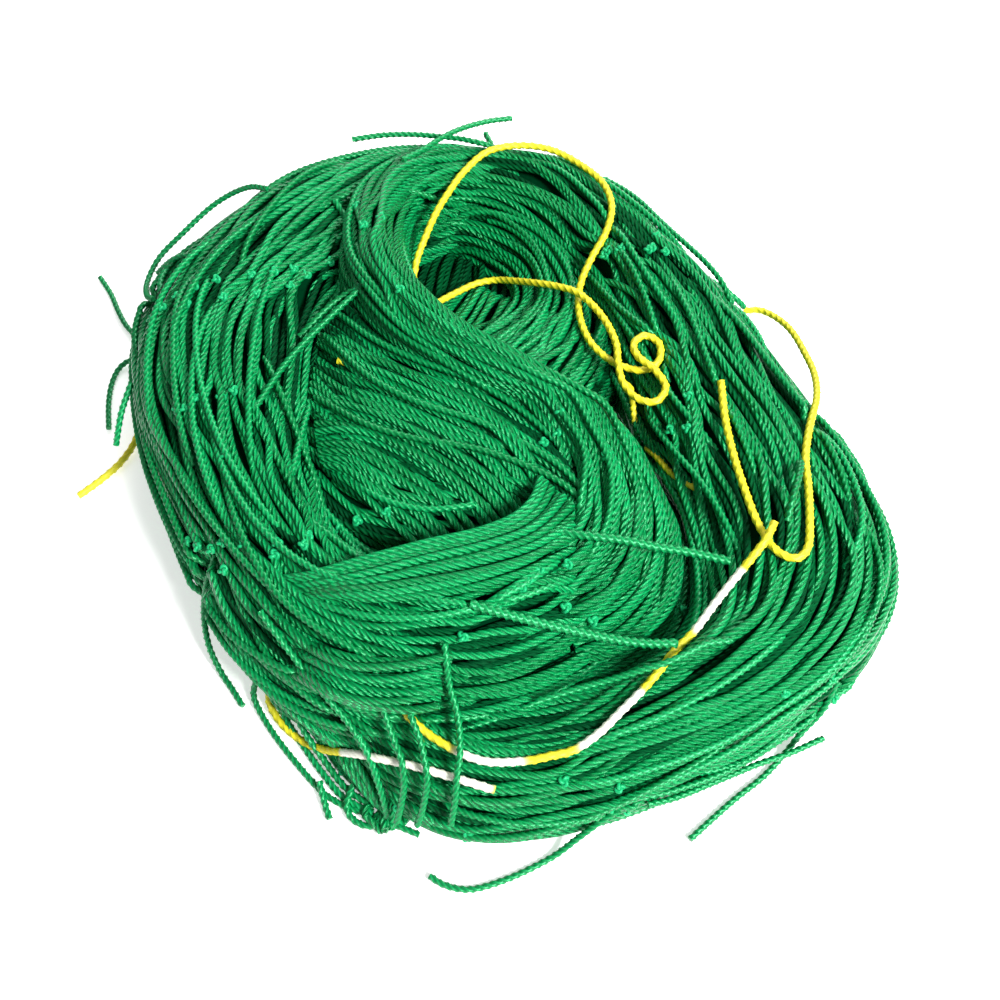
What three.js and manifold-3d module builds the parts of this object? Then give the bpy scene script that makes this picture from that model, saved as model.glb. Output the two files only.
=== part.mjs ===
// A folded hank of knotted trellis netting: green three-ply polyethylene twine, gathered into one
// thick skein, laid round in a flat spiral, with a thin yellow border cord and loose cut ends.
import * as THREE from "three";
import { mergeVertices } from "three/addons/utils/BufferGeometryUtils.js";
import Module from "manifold-3d";

// Driving dimensions, in millimetres
const TWINE = 1.6; // green netting twine, across its three plies
const BORDER = 1.9; // yellow border cord
const RIDGE = 1.8; // how far a bunch of twines stands out of the skein's surface
const KNOT = 1.2; // how far a netting knot stands out
const RING_STEP = 9; // spacing of the rings along a lay
const BUNCHES = 13; // bunches of twines over the top and sides of a lay
const FOOT_BUNCHES = 4; // the same for the narrow lay at the front left
const UNDERSIDE = [1.3, 1.5, 1.7]; // where a lay's smooth underside has its points, in half turns
const REACH_UNDER = 0.14; // how far the bunches go round under each side, in half turns
const SPREAD = 0.16; // how far points are moved from the sides to the top, to space them evenly
const BELLY = 0.42; // the height of a lay's widest place, as a share of its top
const SINK = 1.6; // how far the section dips under the floor before it is cut flat
const SQUARE = 0.72; // how square a section is: 1 is an ellipse, less is squarer
const CROWN = 3; // how far a lay's middle stands above its shoulders
const SIDES = 8; // sides of a loose cord
const STEP_DIAMETERS = 3; // a loose cord's step, in diameters
const CLEARANCE = 0.4; // room pressed into the hank round a cord that lies on it

// The skein doubles back over itself, so it is described as a few lays.
// Each row is one section: its outer and inner edge on the floor plan, and the height at each.
const COLUMNS = ["outX", "outY", "inX", "inY", "outTop", "inTop"];

// The left flank and the sweep across the front
const LEFT_AND_FRONT = [
  [10, 81, 1, 65, 33, 31],
  [-3, 84, -6, 66, 33, 32],
  [-18, 84, -13, 64, 33, 34],
  [-37, 81, -20, 59, 34, 36],
  [-57, 74, -27, 51, 34, 37],
  [-73, 61, -32, 43, 33, 38],
  [-85, 47, -37, 33, 31, 38],
  [-90, 31, -40, 18, 30, 38],
  [-88, 14, -42, 3, 29, 37],
  [-82, -5, -42, -9, 28, 36],
  [-74, -22, -39, -21, 27, 36],
  [-66, -37, -33, -31, 26, 37],
  [-57, -51, -26, -38, 24, 39],
  [-47, -61, -17, -42, 22, 41],
  [-36, -68, -8, -43, 20, 42],
  [-22, -72, 0, -41, 19, 42],
  [-6, -71, 6, -38, 19, 41],
  [10, -66, 10, -34, 20, 40],
  [26, -58, 12, -28, 20, 38],
];

// The turn at the right of the sweep, and the diagonal lay that climbs back over the top
const HOOK_AND_DIAGONAL = [
  [13, -64, 4, -36, 18, 38],
  [27, -58, 10, -31, 19, 38],
  [37, -49, 12, -24, 20, 38],
  [41, -38, 12, -17, 22, 38],
  [41, -26, 10, -9, 25, 38],
  [37, -15, 5, -3, 29, 39],
  [31, -5, 0, 2, 34, 40],
  [22, 0, -8, 4, 39, 40],
  [12, 5, -17, 9, 43, 40],
  [1, 11, -27, 16, 45, 40],
  [-9, 19, -34, 26, 46, 40],
  [-18.5, 30, -39, 39, 45, 40],
  [-22.5, 44, -39, 54, 43, 39],
  [-21.5, 58, -35, 67, 40, 37],
  [-15, 70, -25, 78, 37, 36],
  [-5, 75, -12, 84, 33, 32],
  [3, 77, 0, 84, 29, 29],
];

// The arch at the back, the right flank and the low front edge
const ARCH_AND_RIGHT = [
  [-36, 79, -22, 60, 30, 30],
  [-18, 84, -14, 64, 32, 32],
  [-3, 84, -6, 66, 34, 31],
  [14, 79, 4, 62, 36, 31],
  [28, 71, 13, 53, 35, 31],
  [41, 58, 21, 40, 34, 31],
  [51, 44, 26, 28, 33, 31],
  [60, 31, 30, 16, 32, 31],
  [69, 16, 34, 3, 30, 31],
  [77, 2, 38, -8, 29, 31],
  [83, -12, 42, -19, 28, 31],
  [87, -26, 43, -31, 27, 30],
  [86, -39, 42, -42, 25, 30],
  [80, -51, 39, -49, 23, 29],
  [71, -60, 33, -54, 21, 28],
  [60, -67, 26, -58, 19, 26],
  [48, -74, 18, -60, 17, 24],
  [33, -80, 10, -62, 15, 22],
  [19, -85, 2, -62, 13, 20],
  [4, -88, -5, -61, 12, 20],
  [-10, -87, -13, -60, 12, 20],
  [-21, -82, -20, -58, 12, 19],
  [-30, -75, -27, -57, 11, 17],
  [-35, -69, -33, -57, 9, 12],
];

// The hollow between the left flank and the diagonal
const POCKET = [
  [-40, 48, -46, -24, 36, 28],
  [-31, 32, -30, -36, 39, 25],
  [-20, 22, -17, -40, 40, 23],
  [-7, 14, -4, -40, 40, 22],
  [5, 5, 6, -40, 38, 23],
  [14, -6, 14, -38, 36, 27],
  [20, -20, 19, -34, 34, 30],
];

// The tight turns round the eye at the back, down to the lays below
const EYE_WALL = [
  [-24, 68, -17, 62, 26, 12],
  [-9, 70, -9, 60, 30, 13],
  [6, 65, -4, 55, 30, 13],
  [18, 54, -1, 50, 29, 13],
  [27, 36, -2, 44, 28, 15],
  [28, 21, -7, 38, 27, 18],
  [23, 8, -13, 33, 28, 22],
  [15, 0, -18, 28, 29, 26],
];

// The lowest lays, which close the bottom of the eye and of the hollow
const CORE = [
  [-46, -52, 18, -54, 10, 10],
  [-58, -28, 24, -34, 11, 11],
  [-62, 0, 24, -6, 12, 12],
  [-60, 30, 24, 20, 12, 12],
  [-46, 58, 22, 48, 12, 12],
  [-24, 72, 8, 68, 11, 11],
];

// The twines that come out under the sweep at the front left and lie down to the floor
const FOOT = [
  [-47, -54, -35, -52, 17, 18],
  [-44, -59.5, -33.4, -59, 14, 15],
  [-41, -65.3, -31.8, -64.8, 10, 12],
  [-35.6, -71.5, -26.8, -69.8, 7, 9],
  [-30.4, -77.2, -23.8, -74.7, 4.6, 7],
  [-26.5, -82.3, -21.5, -80.6, 3, 5],
  [-23.6, -86, -20, -84.4, 2.6, 3.4],
];

// The netting knots that show, lay by lay: how far along it, and the turn across its top in half turns
const KNOT_COLUMNS = ["along", "halfTurns"];
const KNOTS = new Map([
  [LEFT_AND_FRONT, [
    [0.308, 0.71], [0.35, 0.64], [0.367, 0.56], [0.38, 0.5], [0.384, 0.43], [0.388, 0.31], [0.473, 0.51],
    [0.481, 0.43], [0.523, 0.5], [0.586, 0.21], [0.62, 0.33], [0.624, 0.62], [0.633, 0.5], [0.806, 0.6],
    [0.873, 0.55], [0.911, 0.61], [0.966, 0.49], [0.97, 0.57], [0.987, 0.42],
  ]],
  [HOOK_AND_DIAGONAL, [
    [0.257, 0.52], [0.279, 0.71], [0.318, 0.6], [0.62, 0.51], [0.648, 0.71], [0.721, 0.53], [0.749, 0.44],
    [0.754, 0.61],
  ]],
  [ARCH_AND_RIGHT, [
    [0.214, 0.63], [0.221, 0.56], [0.229, 0.4], [0.239, 0.47], [0.354, 0.64], [0.375, 0.78], [0.382, 0.71],
    [0.604, 0.21], [0.639, 0.31], [0.764, 0.25], [0.771, 0.11], [0.793, 0.37],
  ]],
  [POCKET, [[0.107, 0.77], [0.147, 0.71], [0.227, 0.65], [0.733, 0.41]]],
]);

// Where the yellow border cord shows: points along the middle of each stretch
const BORDER_ROUTES = {
  // out beside the eye, over the back, round a small slip knot and down into the hank again
  border_cord_loop: [
    [-21.4, 42, 28], [-20.4, 45.6, 31], [-18.6, 50, 33.2], [-16, 56.6, 35], [-13, 62.4, 36.2], [-9, 69, 37.2],
    [-3, 74.6, 38.6],
    [5, 76.5, 38.8], [13, 75, 38.8], [20, 70.5, 38.4], [25.5, 64.5, 38], [27.5, 57, 37.6], [26, 50, 36],
    [22.5, 44.5, 33], [20, 39.5, 30.4], [19, 34, 29], [19.5, 27.5, 29], [21.5, 21.5, 29], [25, 17, 29],
    [29, 14, 29.4], [33.5, 12.5, 30.2], [37, 14.5, 31.2], [37.2, 18.8, 32], [34, 20.8, 32.4], [31.2, 18.2, 32.6],
    [32, 14.2, 33], [35.5, 10.5, 33], [37.8, 6.2, 32.2], [35.5, 2.8, 31.4], [31.5, 3.8, 31], [28.4, 8, 31],
    [27.4, 13, 31.6], [27.2, 18.5, 32], [25.5, 24.5, 31.8], [22.5, 30, 31.8], [18.5, 34.6, 31.6],
    [13.5, 38.5, 29.4], [8.5, 42, 26.5], [3.5, 46, 22.6], [-1, 49, 19.4], [-6, 48.5, 18.6], [-11, 45, 19.2],
    [-15, 41.2, 20.4], [-19, 36.6, 22.2],
  ],
  // a free end on the right flank, round and over its outer edge, and back in under it
  border_cord_right: [
    [50, 6, 34.6], [50, -4, 34.4], [51, -13, 33.8], [52.5, -21, 33.4], [54.5, -29, 32.8], [57.5, -35.5, 32.6],
    [61.5, -38, 33], [64.4, -35.5, 33.2], [65.6, -29, 33.4], [66.4, -21, 33.4], [67, -13, 32.8],
    [69.5, -4, 31.2], [73.4, 6.5, 27.6], [75, 16, 24], [74.5, 25, 20.8], [73, 33, 18.6], [70.5, 39, 16.4],
    [67, 43, 14.6], [63, 43.8, 13.4],
  ],
  // a free end that lies across the last one and runs along under the front sweep
  border_cord_front: [
    [57.6, -30.6, 35], [55.4, -34.6, 35], [52, -38.5, 33.4], [48.5, -42, 30.6], [44.5, -46.5, 28.6],
    [40, -52, 27], [35.6, -56.4, 26.8], [32, -61, 27.6], [28, -65, 26], [24, -68.6, 24.6], [20, -72, 22.6],
    [15, -75, 21], [10, -76.2, 20.6], [5, -77, 20], [-2, -77.2, 20], [-7, -76, 20.6], [-11, -74, 21],
    [-15, -71.4, 21.2], [-18.5, -68.6, 22.6], [-21, -65.6, 25],
  ],
  // out under the lower left of the hank, up over its front edge to a free end
  border_cord_front_low: [
    [-50.6, -54.6, 6], [-51.4, -57.6, 2.8], [-50, -60.6, 1.3], [-47, -64, 1.1], [-42.5, -67.4, 2],
    [-38, -69.8, 5], [-34, -71.6, 9], [-29, -73.6, 13.4], [-24, -75.5, 16.4], [-18, -77.2, 17.8],
    [-12, -79, 18], [-6, -80.8, 18], [-1, -82.3, 17.8],
  ],
  // out under the left flank to a free end on the floor
  border_cord_left_tail: [
    [-89.4, 22, 9], [-90.4, 17, 5.6], [-92, 11, 2.6], [-95, 5.5, 1.3], [-99, 0.5, 1.1], [-104, -4.5, 1.1],
  ],
};

// Where a loose end of green twine shows
const TWINE_ROUTES = {
  twine_end_left_up: [
    [-88.6, 37, 9], [-92, 40.4, 4.6], [-97, 44.6, 1.6], [-101, 49, 0.9], [-104, 54, 0.9], [-107, 60, 0.9],
    [-111, 66, 0.9],
  ],
  twine_end_left_down: [
    [-89.2, 30.6, 9.4], [-93.4, 34.2, 5.4], [-97.6, 36.6, 2], [-100.4, 34.6, 1.1], [-101.6, 30, 0.9],
    [-101.4, 23.6, 0.9], [-100, 15.6, 0.9],
  ],
  twine_end_left_arc: [
    [-58, 63, 37.4], [-63, 66, 35], [-69, 67.4, 31], [-75, 66, 27.4], [-82, 61.4, 23.4], [-87.6, 57.4, 20],
    [-90, 53.4, 18.4], [-90.6, 48, 18.6], [-88.6, 41.6, 22], [-84.6, 35.4, 28],
  ],
  twine_end_back_left: [
    [-6, 78.8, 37.8], [-10, 80, 37.8], [-15, 81, 37.6], [-22, 82, 37.4], [-30, 82, 37.2], [-38, 80.6, 37],
  ],
  twine_end_back_right: [
    [-24, 67, 43], [-19, 72, 41.8], [-14, 77.6, 40.8], [-9, 81.6, 40], [-3, 85, 39], [3, 87, 38.2],
  ],
  twine_end_right_edge: [
    [56.4, 33.4, 28.6], [54.2, 38.4, 30.4], [51, 43.4, 31.4], [47, 48.6, 31.8], [43, 53.8, 31.8],
    [39.4, 59, 31.6], [36, 64.4, 31.2], [32, 69.4, 30.6], [27, 73.8, 30.2],
  ],
  twine_end_right_down: [
    [68.4, 15.8, 8.2], [73.4, 17.6, 5.6], [78, 17.6, 3], [82, 16.4, 1.4], [86, 13.6, 0.9], [88, 9, 0.9], [90, 4, 0.9],
    [91, -1, 0.9],
  ],
  twine_end_front_right_low: [
    [72.4, -57.4, 13], [70, -61.8, 7.6], [66, -65.4, 2.8], [62, -69.8, 1.2], [57, -74.6, 0.9], [51, -79, 0.9],
    [46, -83, 0.9], [40, -88, 0.9],
  ],
  twine_end_front_right_high: [
    [30.6, -82.8, 8.6], [37, -80.8, 7], [46, -77, 5.8], [55, -73.2, 5], [62.6, -70.6, 5], [70, -67.4, 5],
  ],
  twine_end_front_low: [
    [24.4, -84.2, 9.6], [20.6, -86, 7.6], [16, -88.6, 4.2], [11, -91.6, 1.2], [5, -94.6, 0.9], [0, -96.6, 0.9],
    [-5, -98, 0.9], [-8.6, -98, 0.9], [-12, -97, 0.9], [-14.6, -95.4, 0.9],
  ],
  twine_end_left_foot: [
    [-61.6, -33, 25], [-64.4, -37, 18.6], [-66, -41, 12], [-65.6, -46, 6], [-63.4, -50.4, 1.8],
    [-60.4, -54.4, 0.9], [-57.4, -58.6, 0.9],
  ],
  twine_end_left_front: [
    [-54, -54.2, 6], [-55, -56.6, 2.4], [-53, -60.6, 1.1], [-48.6, -66.6, 0.9], [-43, -73, 0.9],
    [-38, -78, 0.9], [-33, -81, 0.9], [-27, -83, 0.9], [-22, -85, 0.9], [-17, -87, 0.9],
  ],
  twine_end_over_slit: [
    [7, -32.6, 35.4], [13, -33.6, 36], [19, -34.6, 36.4], [26, -35.2, 35.6], [33, -36, 34], [40, -36.6, 32.8],
    [48, -38, 31.6],
  ],
  twine_end_over_front: [
    [-6, -51, 38.6], [0, -52.2, 37], [10, -53.6, 34], [21, -55, 31.2], [29, -55.8, 30], [36, -55.6, 29.6],
  ],
  twine_end_over_front_low: [
    [8, -66, 24.6], [15, -64, 25.4], [22, -62.4, 26.6], [29, -61, 29], [34, -59.8, 30.2], [38, -58, 30.4],
    [42, -56, 30.4], [47, -55.2, 30.2],
  ],
  twine_end_hanging_mid: [
    [-11, -58, 35.4], [-10.6, -61.6, 32.6], [-10, -65, 29], [-8.6, -69, 26], [-8, -73, 24.2], [-8, -76.6, 23],
    [-8.6, -80.2, 20.8], [-9, -83.8, 17.4], [-10, -87.6, 11.6],
  ],
  twine_end_hanging_second: [
    [-20, -61.2, 30.4], [-18.8, -65.6, 27.2], [-17.6, -70, 25.2], [-16, -73.6, 23.4], [-15, -77.6, 21.6],
    [-14.6, -81, 19.4], [-15.6, -84.6, 14], [-17, -87, 8.6],
  ],
  twine_end_hanging_left: [
    [-25.2, -61, 29.4], [-24.2, -65.2, 26.2], [-22.8, -69.8, 23.6], [-21.2, -73.6, 21.6], [-19.8, -77, 20.4],
    [-19.4, -80.6, 17], [-20.2, -83.6, 12], [-21.4, -86, 7],
  ],
  twine_end_hanging_far_left: [
    [-49, -49.4, 31.6], [-45, -54.2, 29], [-40, -59.8, 25.4], [-35, -65, 22.4], [-31, -69, 19.4],
    [-28.6, -72.2, 17.8],
  ],
};

const wasm = await Module();
wasm.setup();

// A value and its neighbours as a smooth curve through a table's column
function smooth(before, from, to, after, share) {
  const pull = 2 * from + (to - before) * share;
  const bend = (2 * before - 5 * from + 4 * to - after) * share ** 2;
  const turn = (3 * from - before - 3 * to + after) * share ** 3;
  return 0.5 * (pull + bend + turn);
}

// The section at a place along a table, from 0 at its first row to 1 at its last
function sectionAt(table, along) {
  const place = along * (table.length - 1);
  const first = Math.min(Math.floor(place), table.length - 2);
  const near = [-1, 0, 1, 2].map((k) => table[THREE.MathUtils.clamp(first + k, 0, table.length - 1)]);
  const section = {};
  COLUMNS.forEach((name, c) => {
    section[name] = smooth(near[0][c], near[1][c], near[2][c], near[3][c], place - first);
  });
  return section;
}

// A point on a section: turn 0 is its outer edge, a quarter turn its top, half a turn its inner edge
function sectionPoint(section, turn, proud) {
  const side = Math.cos(turn);
  const rise = Math.sin(turn);
  const across = 0.5 - 0.5 * Math.sign(side) * Math.abs(side) ** SQUARE;
  const shoulder = THREE.MathUtils.lerp(section.outTop, section.inTop, across);
  const top = shoulder + CROWN * 4 * across * (1 - across);
  const middle = BELLY * top;
  const reach = rise > 0 ? top - middle : middle + SINK;
  const height = middle + Math.sign(rise) * reach * Math.abs(rise) ** SQUARE;
  const x = THREE.MathUtils.lerp(section.outX, section.inX, across);
  const y = THREE.MathUtils.lerp(section.outY, section.inY, across);
  const wide = Math.hypot(section.inX - section.outX, section.inY - section.outY);
  const out = (-side * proud) / wide;
  return new THREE.Vector3(
    x + (section.inX - section.outX) * out,
    y + (section.inY - section.outY) * out,
    height + rise * proud,
  );
}

// The length of a table's middle line on the floor plan
function lengthOf(table) {
  const middle = table.map(([outX, outY, inX, inY]) => new THREE.Vector2((outX + inX) / 2, (outY + inY) / 2));
  return middle.slice(1).reduce((sum, point, k) => sum + point.distanceTo(middle[k]), 0);
}

// The turns of a section's points, each with how far it stands proud: bunches, then the underside
function sectionTurns(bunches) {
  const turns = [];
  for (let k = 0; k <= 2 * bunches; k++) {
    const even = -REACH_UNDER + ((1 + 2 * REACH_UNDER) * k) / (2 * bunches);
    const turn = (even + SPREAD * Math.sin(2 * Math.PI * even)) * Math.PI;
    turns.push([turn, k % 2 ? RIDGE / 2 : -RIDGE / 2]);
  }
  return [...turns, ...UNDERSIDE.map((halfTurns) => [halfTurns * Math.PI, 0])];
}

// Which points of a lay's rings are raised as knots: on the ridge nearest to each knot
function knotPoints(table, rings, turns) {
  const ridges = turns.map(([turn, proud], k) => ({ turn, proud, k })).filter(({ proud }) => proud > 0);
  return (KNOTS.get(table) ?? []).map((row) => {
    const along = row[KNOT_COLUMNS.indexOf("along")];
    const turn = row[KNOT_COLUMNS.indexOf("halfTurns")] * Math.PI;
    const gap = (ridge) => Math.abs(ridge.turn - turn);
    const nearest = ridges.reduce((best, ridge) => (gap(ridge) < gap(best) ? ridge : best));
    return Math.round(along * rings) * turns.length + nearest.k;
  });
}

// A closed body lofted through a table's sections, with ridges along it and its knots raised
function lay(table, bunches = BUNCHES) {
  const rings = Math.ceil(lengthOf(table) / RING_STEP);
  const turns = sectionTurns(bunches);
  const knots = knotPoints(table, rings, turns);
  const points = turns.length;
  const position = [];
  const faces = [];
  for (let ring = 0; ring <= rings; ring++) {
    const section = sectionAt(table, ring / rings);
    turns.forEach(([turn, proud], k) => {
      const raised = knots.includes(ring * turns.length + k) ? KNOT : 0;
      position.push(...sectionPoint(section, turn, proud + raised));
    });
  }
  for (let ring = 0; ring < rings; ring++) {
    for (let k = 0; k < points; k++) {
      const here = ring * points + k;
      const beside = ring * points + ((k + 1) % points);
      faces.push(here, beside, here + points, beside, beside + points, here + points);
    }
  }
  [0, rings].forEach((ring) => {
    const centre = position.length / 3;
    const start = ring * points;
    const middle = new THREE.Vector3();
    for (let k = 0; k < points; k++) {
      middle.add(new THREE.Vector3().fromArray(position, 3 * (start + k)));
    }
    position.push(...middle.divideScalar(points));
    for (let k = 0; k < points; k++) {
      const pair = [start + k, start + ((k + 1) % points)];
      faces.push(centre, ...(ring ? pair : pair.reverse()));
    }
  });
  const geometry = new THREE.BufferGeometry();
  geometry.setAttribute("position", new THREE.Float32BufferAttribute(position, 3));
  geometry.setIndex(faces);
  return geometry;
}

// Turns a closed three.js geometry into a solid that can be joined and cut
function solidFrom(source) {
  const bare = source.clone();
  bare.deleteAttribute("normal");
  bare.deleteAttribute("uv");
  const merged = mergeVertices(bare, 1e-4);
  const triVerts = new Uint32Array(merged.index.array);
  const vertProperties = new Float32Array(merged.attributes.position.array);
  const solid = new wasm.Manifold(new wasm.Mesh({ numProp: 3, vertProperties, triVerts }));
  if (solid.volume() > 0) {
    return solid;
  }
  for (let k = 0; k < triVerts.length; k += 3) {
    [triVerts[k + 1], triVerts[k + 2]] = [triVerts[k + 2], triVerts[k + 1]];
  }
  return new wasm.Manifold(new wasm.Mesh({ numProp: 3, vertProperties, triVerts }));
}

// Turns a solid back into a three.js geometry
function geometryFrom(solid) {
  const mesh = solid.getMesh();
  const geometry = new THREE.BufferGeometry();
  geometry.setAttribute("position", new THREE.BufferAttribute(mesh.vertProperties, 3));
  geometry.setIndex(new THREE.BufferAttribute(mesh.triVerts, 1));
  const flat = geometry.toNonIndexed();
  flat.computeVertexNormals();
  return flat;
}

// The smooth line through a route's points
function lineOf(route) {
  return new THREE.CatmullRomCurve3(route.map((point) => new THREE.Vector3(...point)), false, "centripetal");
}

// A plain round cord along a route, closed at both ends, made this much thicker all round
function cord(route, diameter, thicker = 0) {
  const path = lineOf(route);
  const radius = diameter / 2 + thicker;
  const corners = Array.from({ length: SIDES }, (_, k) => {
    const turn = ((k + 0.5) * 2 * Math.PI) / SIDES;
    return new THREE.Vector2(radius * Math.cos(turn), radius * Math.sin(turn));
  });
  const steps = Math.ceil(path.getLength() / (STEP_DIAMETERS * diameter));
  return new THREE.ExtrudeGeometry(new THREE.Shape(corners), { steps, extrudePath: path });
}

// The room that a cord presses into the hank: the cord made thicker, with a ball at each end
function roomFor(route, diameter) {
  const radius = diameter / 2 + CLEARANCE;
  const ball = (point) => solidFrom(new THREE.SphereGeometry(radius, SIDES, SIDES / 2).translate(...point));
  return solidFrom(cord(route, diameter, CLEARANCE)).add(ball(route[0])).add(ball(route.at(-1)));
}

// The hank: its lays joined into one body, cut flat where it lies on the floor, with room for its cords
function hank() {
  const lays = [LEFT_AND_FRONT, HOOK_AND_DIAGONAL, ARCH_AND_RIGHT, POCKET, EYE_WALL, CORE];
  const foot = solidFrom(lay(FOOT, FOOT_BUNCHES));
  let body = lays.map((table) => solidFrom(lay(table))).reduce((all, one) => all.add(one), foot);
  const room = 400;
  const floor = new THREE.BoxGeometry(room, room, room).translate(0, 0, -room / 2);
  body = body.subtract(solidFrom(floor));
  [[BORDER_ROUTES, BORDER], [TWINE_ROUTES, TWINE]].forEach(([routes, diameter]) => {
    Object.values(routes).forEach((route) => {
      body = body.subtract(roomFor(route, diameter));
    });
  });
  return geometryFrom(body);
}

const greenTwine = new THREE.MeshStandardMaterial({ color: 0x00914b, roughness: 0.45, metalness: 0 });
const yellowCord = new THREE.MeshStandardMaterial({ color: 0xf0eb32, roughness: 0.5, metalness: 0 });

function named(name, geometry, material) {
  const mesh = new THREE.Mesh(geometry, material);
  mesh.name = name;
  return mesh;
}

const netting = new THREE.Group();
netting.add(named("net_hank", hank(), greenTwine));
Object.entries(BORDER_ROUTES).forEach(([name, route]) => {
  netting.add(named(name, cord(route, BORDER), yellowCord));
});
Object.entries(TWINE_ROUTES).forEach(([name, route]) => {
  netting.add(named(name, cord(route, TWINE), greenTwine));
});

export default netting;
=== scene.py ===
# %% [markdown]
# # A folded hank of trellis netting
#
# The real thing is a large-mesh net of green twisted polyethylene twine. The maker gathers the whole
# net into one thick skein, lays it round in a flat spiral and lets the yellow border cord and a few cut
# ends hang out. Almost nothing of the mesh shows any more: the eye sees hundreds of twines lying side
# by side, bunched, crossing now and then, with small knots in rows.
#
# So the model is made of twines, and the twines follow the folded form that the CAD model already has.

# %% Load the fixed frame
import math

import bpy
import numpy as np
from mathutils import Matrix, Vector
from mathutils.bvhtree import BVHTree
from mathutils.kdtree import KDTree


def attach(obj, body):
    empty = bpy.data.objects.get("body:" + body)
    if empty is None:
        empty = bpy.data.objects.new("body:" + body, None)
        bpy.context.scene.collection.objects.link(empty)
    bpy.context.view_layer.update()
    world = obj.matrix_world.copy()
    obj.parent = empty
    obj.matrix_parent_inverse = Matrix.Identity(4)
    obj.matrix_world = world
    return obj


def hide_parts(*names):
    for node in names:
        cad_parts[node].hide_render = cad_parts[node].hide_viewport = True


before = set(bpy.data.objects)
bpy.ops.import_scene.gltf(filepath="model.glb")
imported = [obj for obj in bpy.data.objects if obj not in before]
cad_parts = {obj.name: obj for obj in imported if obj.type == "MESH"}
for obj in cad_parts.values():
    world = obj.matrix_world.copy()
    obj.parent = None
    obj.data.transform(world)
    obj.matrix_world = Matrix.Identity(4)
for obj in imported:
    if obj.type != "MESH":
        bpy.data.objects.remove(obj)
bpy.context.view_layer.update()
MM = 0.001

# %% [markdown]
# ## The camera
#
# The photograph looks down at about sixty degrees from the front edge, from close by, so the near twines
# look thicker than the far ones. A real lens has a place, a direction and a focal length, and those three
# numbers are all that is needed here.

# %% Camera
CAMERA_PLACE = (0.0, -0.1465, 0.24517)
CAMERA_PITCH = math.radians(30)
FOCAL_LENGTH = 41.18
SENSOR_WIDTH = 36.0
NEAREST_SEEN = 0.01


def new_object(name, data):
    thing = bpy.data.objects.new(name, data)
    bpy.context.scene.collection.objects.link(thing)
    return thing


def make_camera():
    data = bpy.data.cameras.new("camera")
    data.lens = FOCAL_LENGTH
    data.sensor_width = SENSOR_WIDTH
    data.clip_start = NEAREST_SEEN
    camera = new_object("camera", data)
    camera.location = CAMERA_PLACE
    camera.rotation_euler = (CAMERA_PITCH, 0, 0)
    bpy.context.scene.camera = camera


make_camera()
print("camera at", CAMERA_PLACE)

# %% [markdown]
# ## One helper for every node tree
#
# Materials and geometry trees are both networks of nodes. A single small function adds a node, sets its
# properties, and fills each input with a plain value or with another node's output.

# %% Node helper
MATH = "ShaderNodeMath"


def live(sockets, name=None):
    # the first socket, of this name or of any, that the node's settings have switched on
    return [socket for socket in sockets if socket.enabled and name in (None, socket.name)][0]


def add_node(tree, kind, settings=None, inputs=None):
    # inputs go by name, or in order as a list; a node given as a value stands for what comes out of it
    node = tree.nodes.new(kind)
    for name, value in (settings or {}).items():
        setattr(node, name, value)
    pairs = enumerate(inputs) if isinstance(inputs, list) else (inputs or {}).items()
    for key, value in pairs:
        socket = live(node.inputs, key) if isinstance(key, str) else node.inputs[key]
        if isinstance(value, bpy.types.Node):
            value = live(value.outputs)
        if isinstance(value, bpy.types.NodeSocket):
            tree.links.new(value, socket)
        else:
            socket.default_value = value
    return node


# %% [markdown]
# ## Twisted twine with Geometry Nodes
#
# A three-ply twine is a rope in small: three plies lie round each other, and one ply comes round again
# after about three diameters. The tree below takes plain lines, puts points along them, turns the line's
# own frame a little at every point, and sweeps a profile with one lobe for each ply along it. The twist
# then is real geometry, so its highlights and its edge are right from every side. The same tree with a
# smooth profile and long steps makes the plain twine that is packed in the hank.

# %% Geometry Nodes: twine along lines
TWINE_INPUTS = [
    ("Diameter", "NodeSocketFloat"),
    ("Twist length", "NodeSocketFloat"),
    ("Step", "NodeSocketFloat"),
    ("Groove", "NodeSocketFloat"),
    ("Corners", "NodeSocketInt"),
    ("Material", "NodeSocketMaterial"),
]
# shares of the way round: the first corner lies below the one, the first face's middle below the other
FIRST_CORNER = 0.01
FIRST_FACE = 0.25


def new_geometry_tree(name, sockets):
    tree = bpy.data.node_groups.new(name, "GeometryNodeTree")
    tree.interface.new_socket(name="Geometry", in_out="INPUT", socket_type="NodeSocketGeometry")
    for label, kind in sockets:
        tree.interface.new_socket(name=label, in_out="INPUT", socket_type=kind)
    tree.interface.new_socket(name="Geometry", in_out="OUTPUT", socket_type="NodeSocketGeometry")
    return tree


def close_geometry_tree(tree, shape, material):
    # real faces, shaded smooth, with their material
    real = add_node(tree, "GeometryNodeRealizeInstances", inputs=[shape])
    soft = add_node(tree, "GeometryNodeSetShadeSmooth", inputs={"Geometry": real})
    done = add_node(tree, "GeometryNodeSetMaterial", inputs={"Geometry": soft, "Material": material})
    add_node(tree, "NodeGroupOutput", inputs={"Geometry": done})


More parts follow.
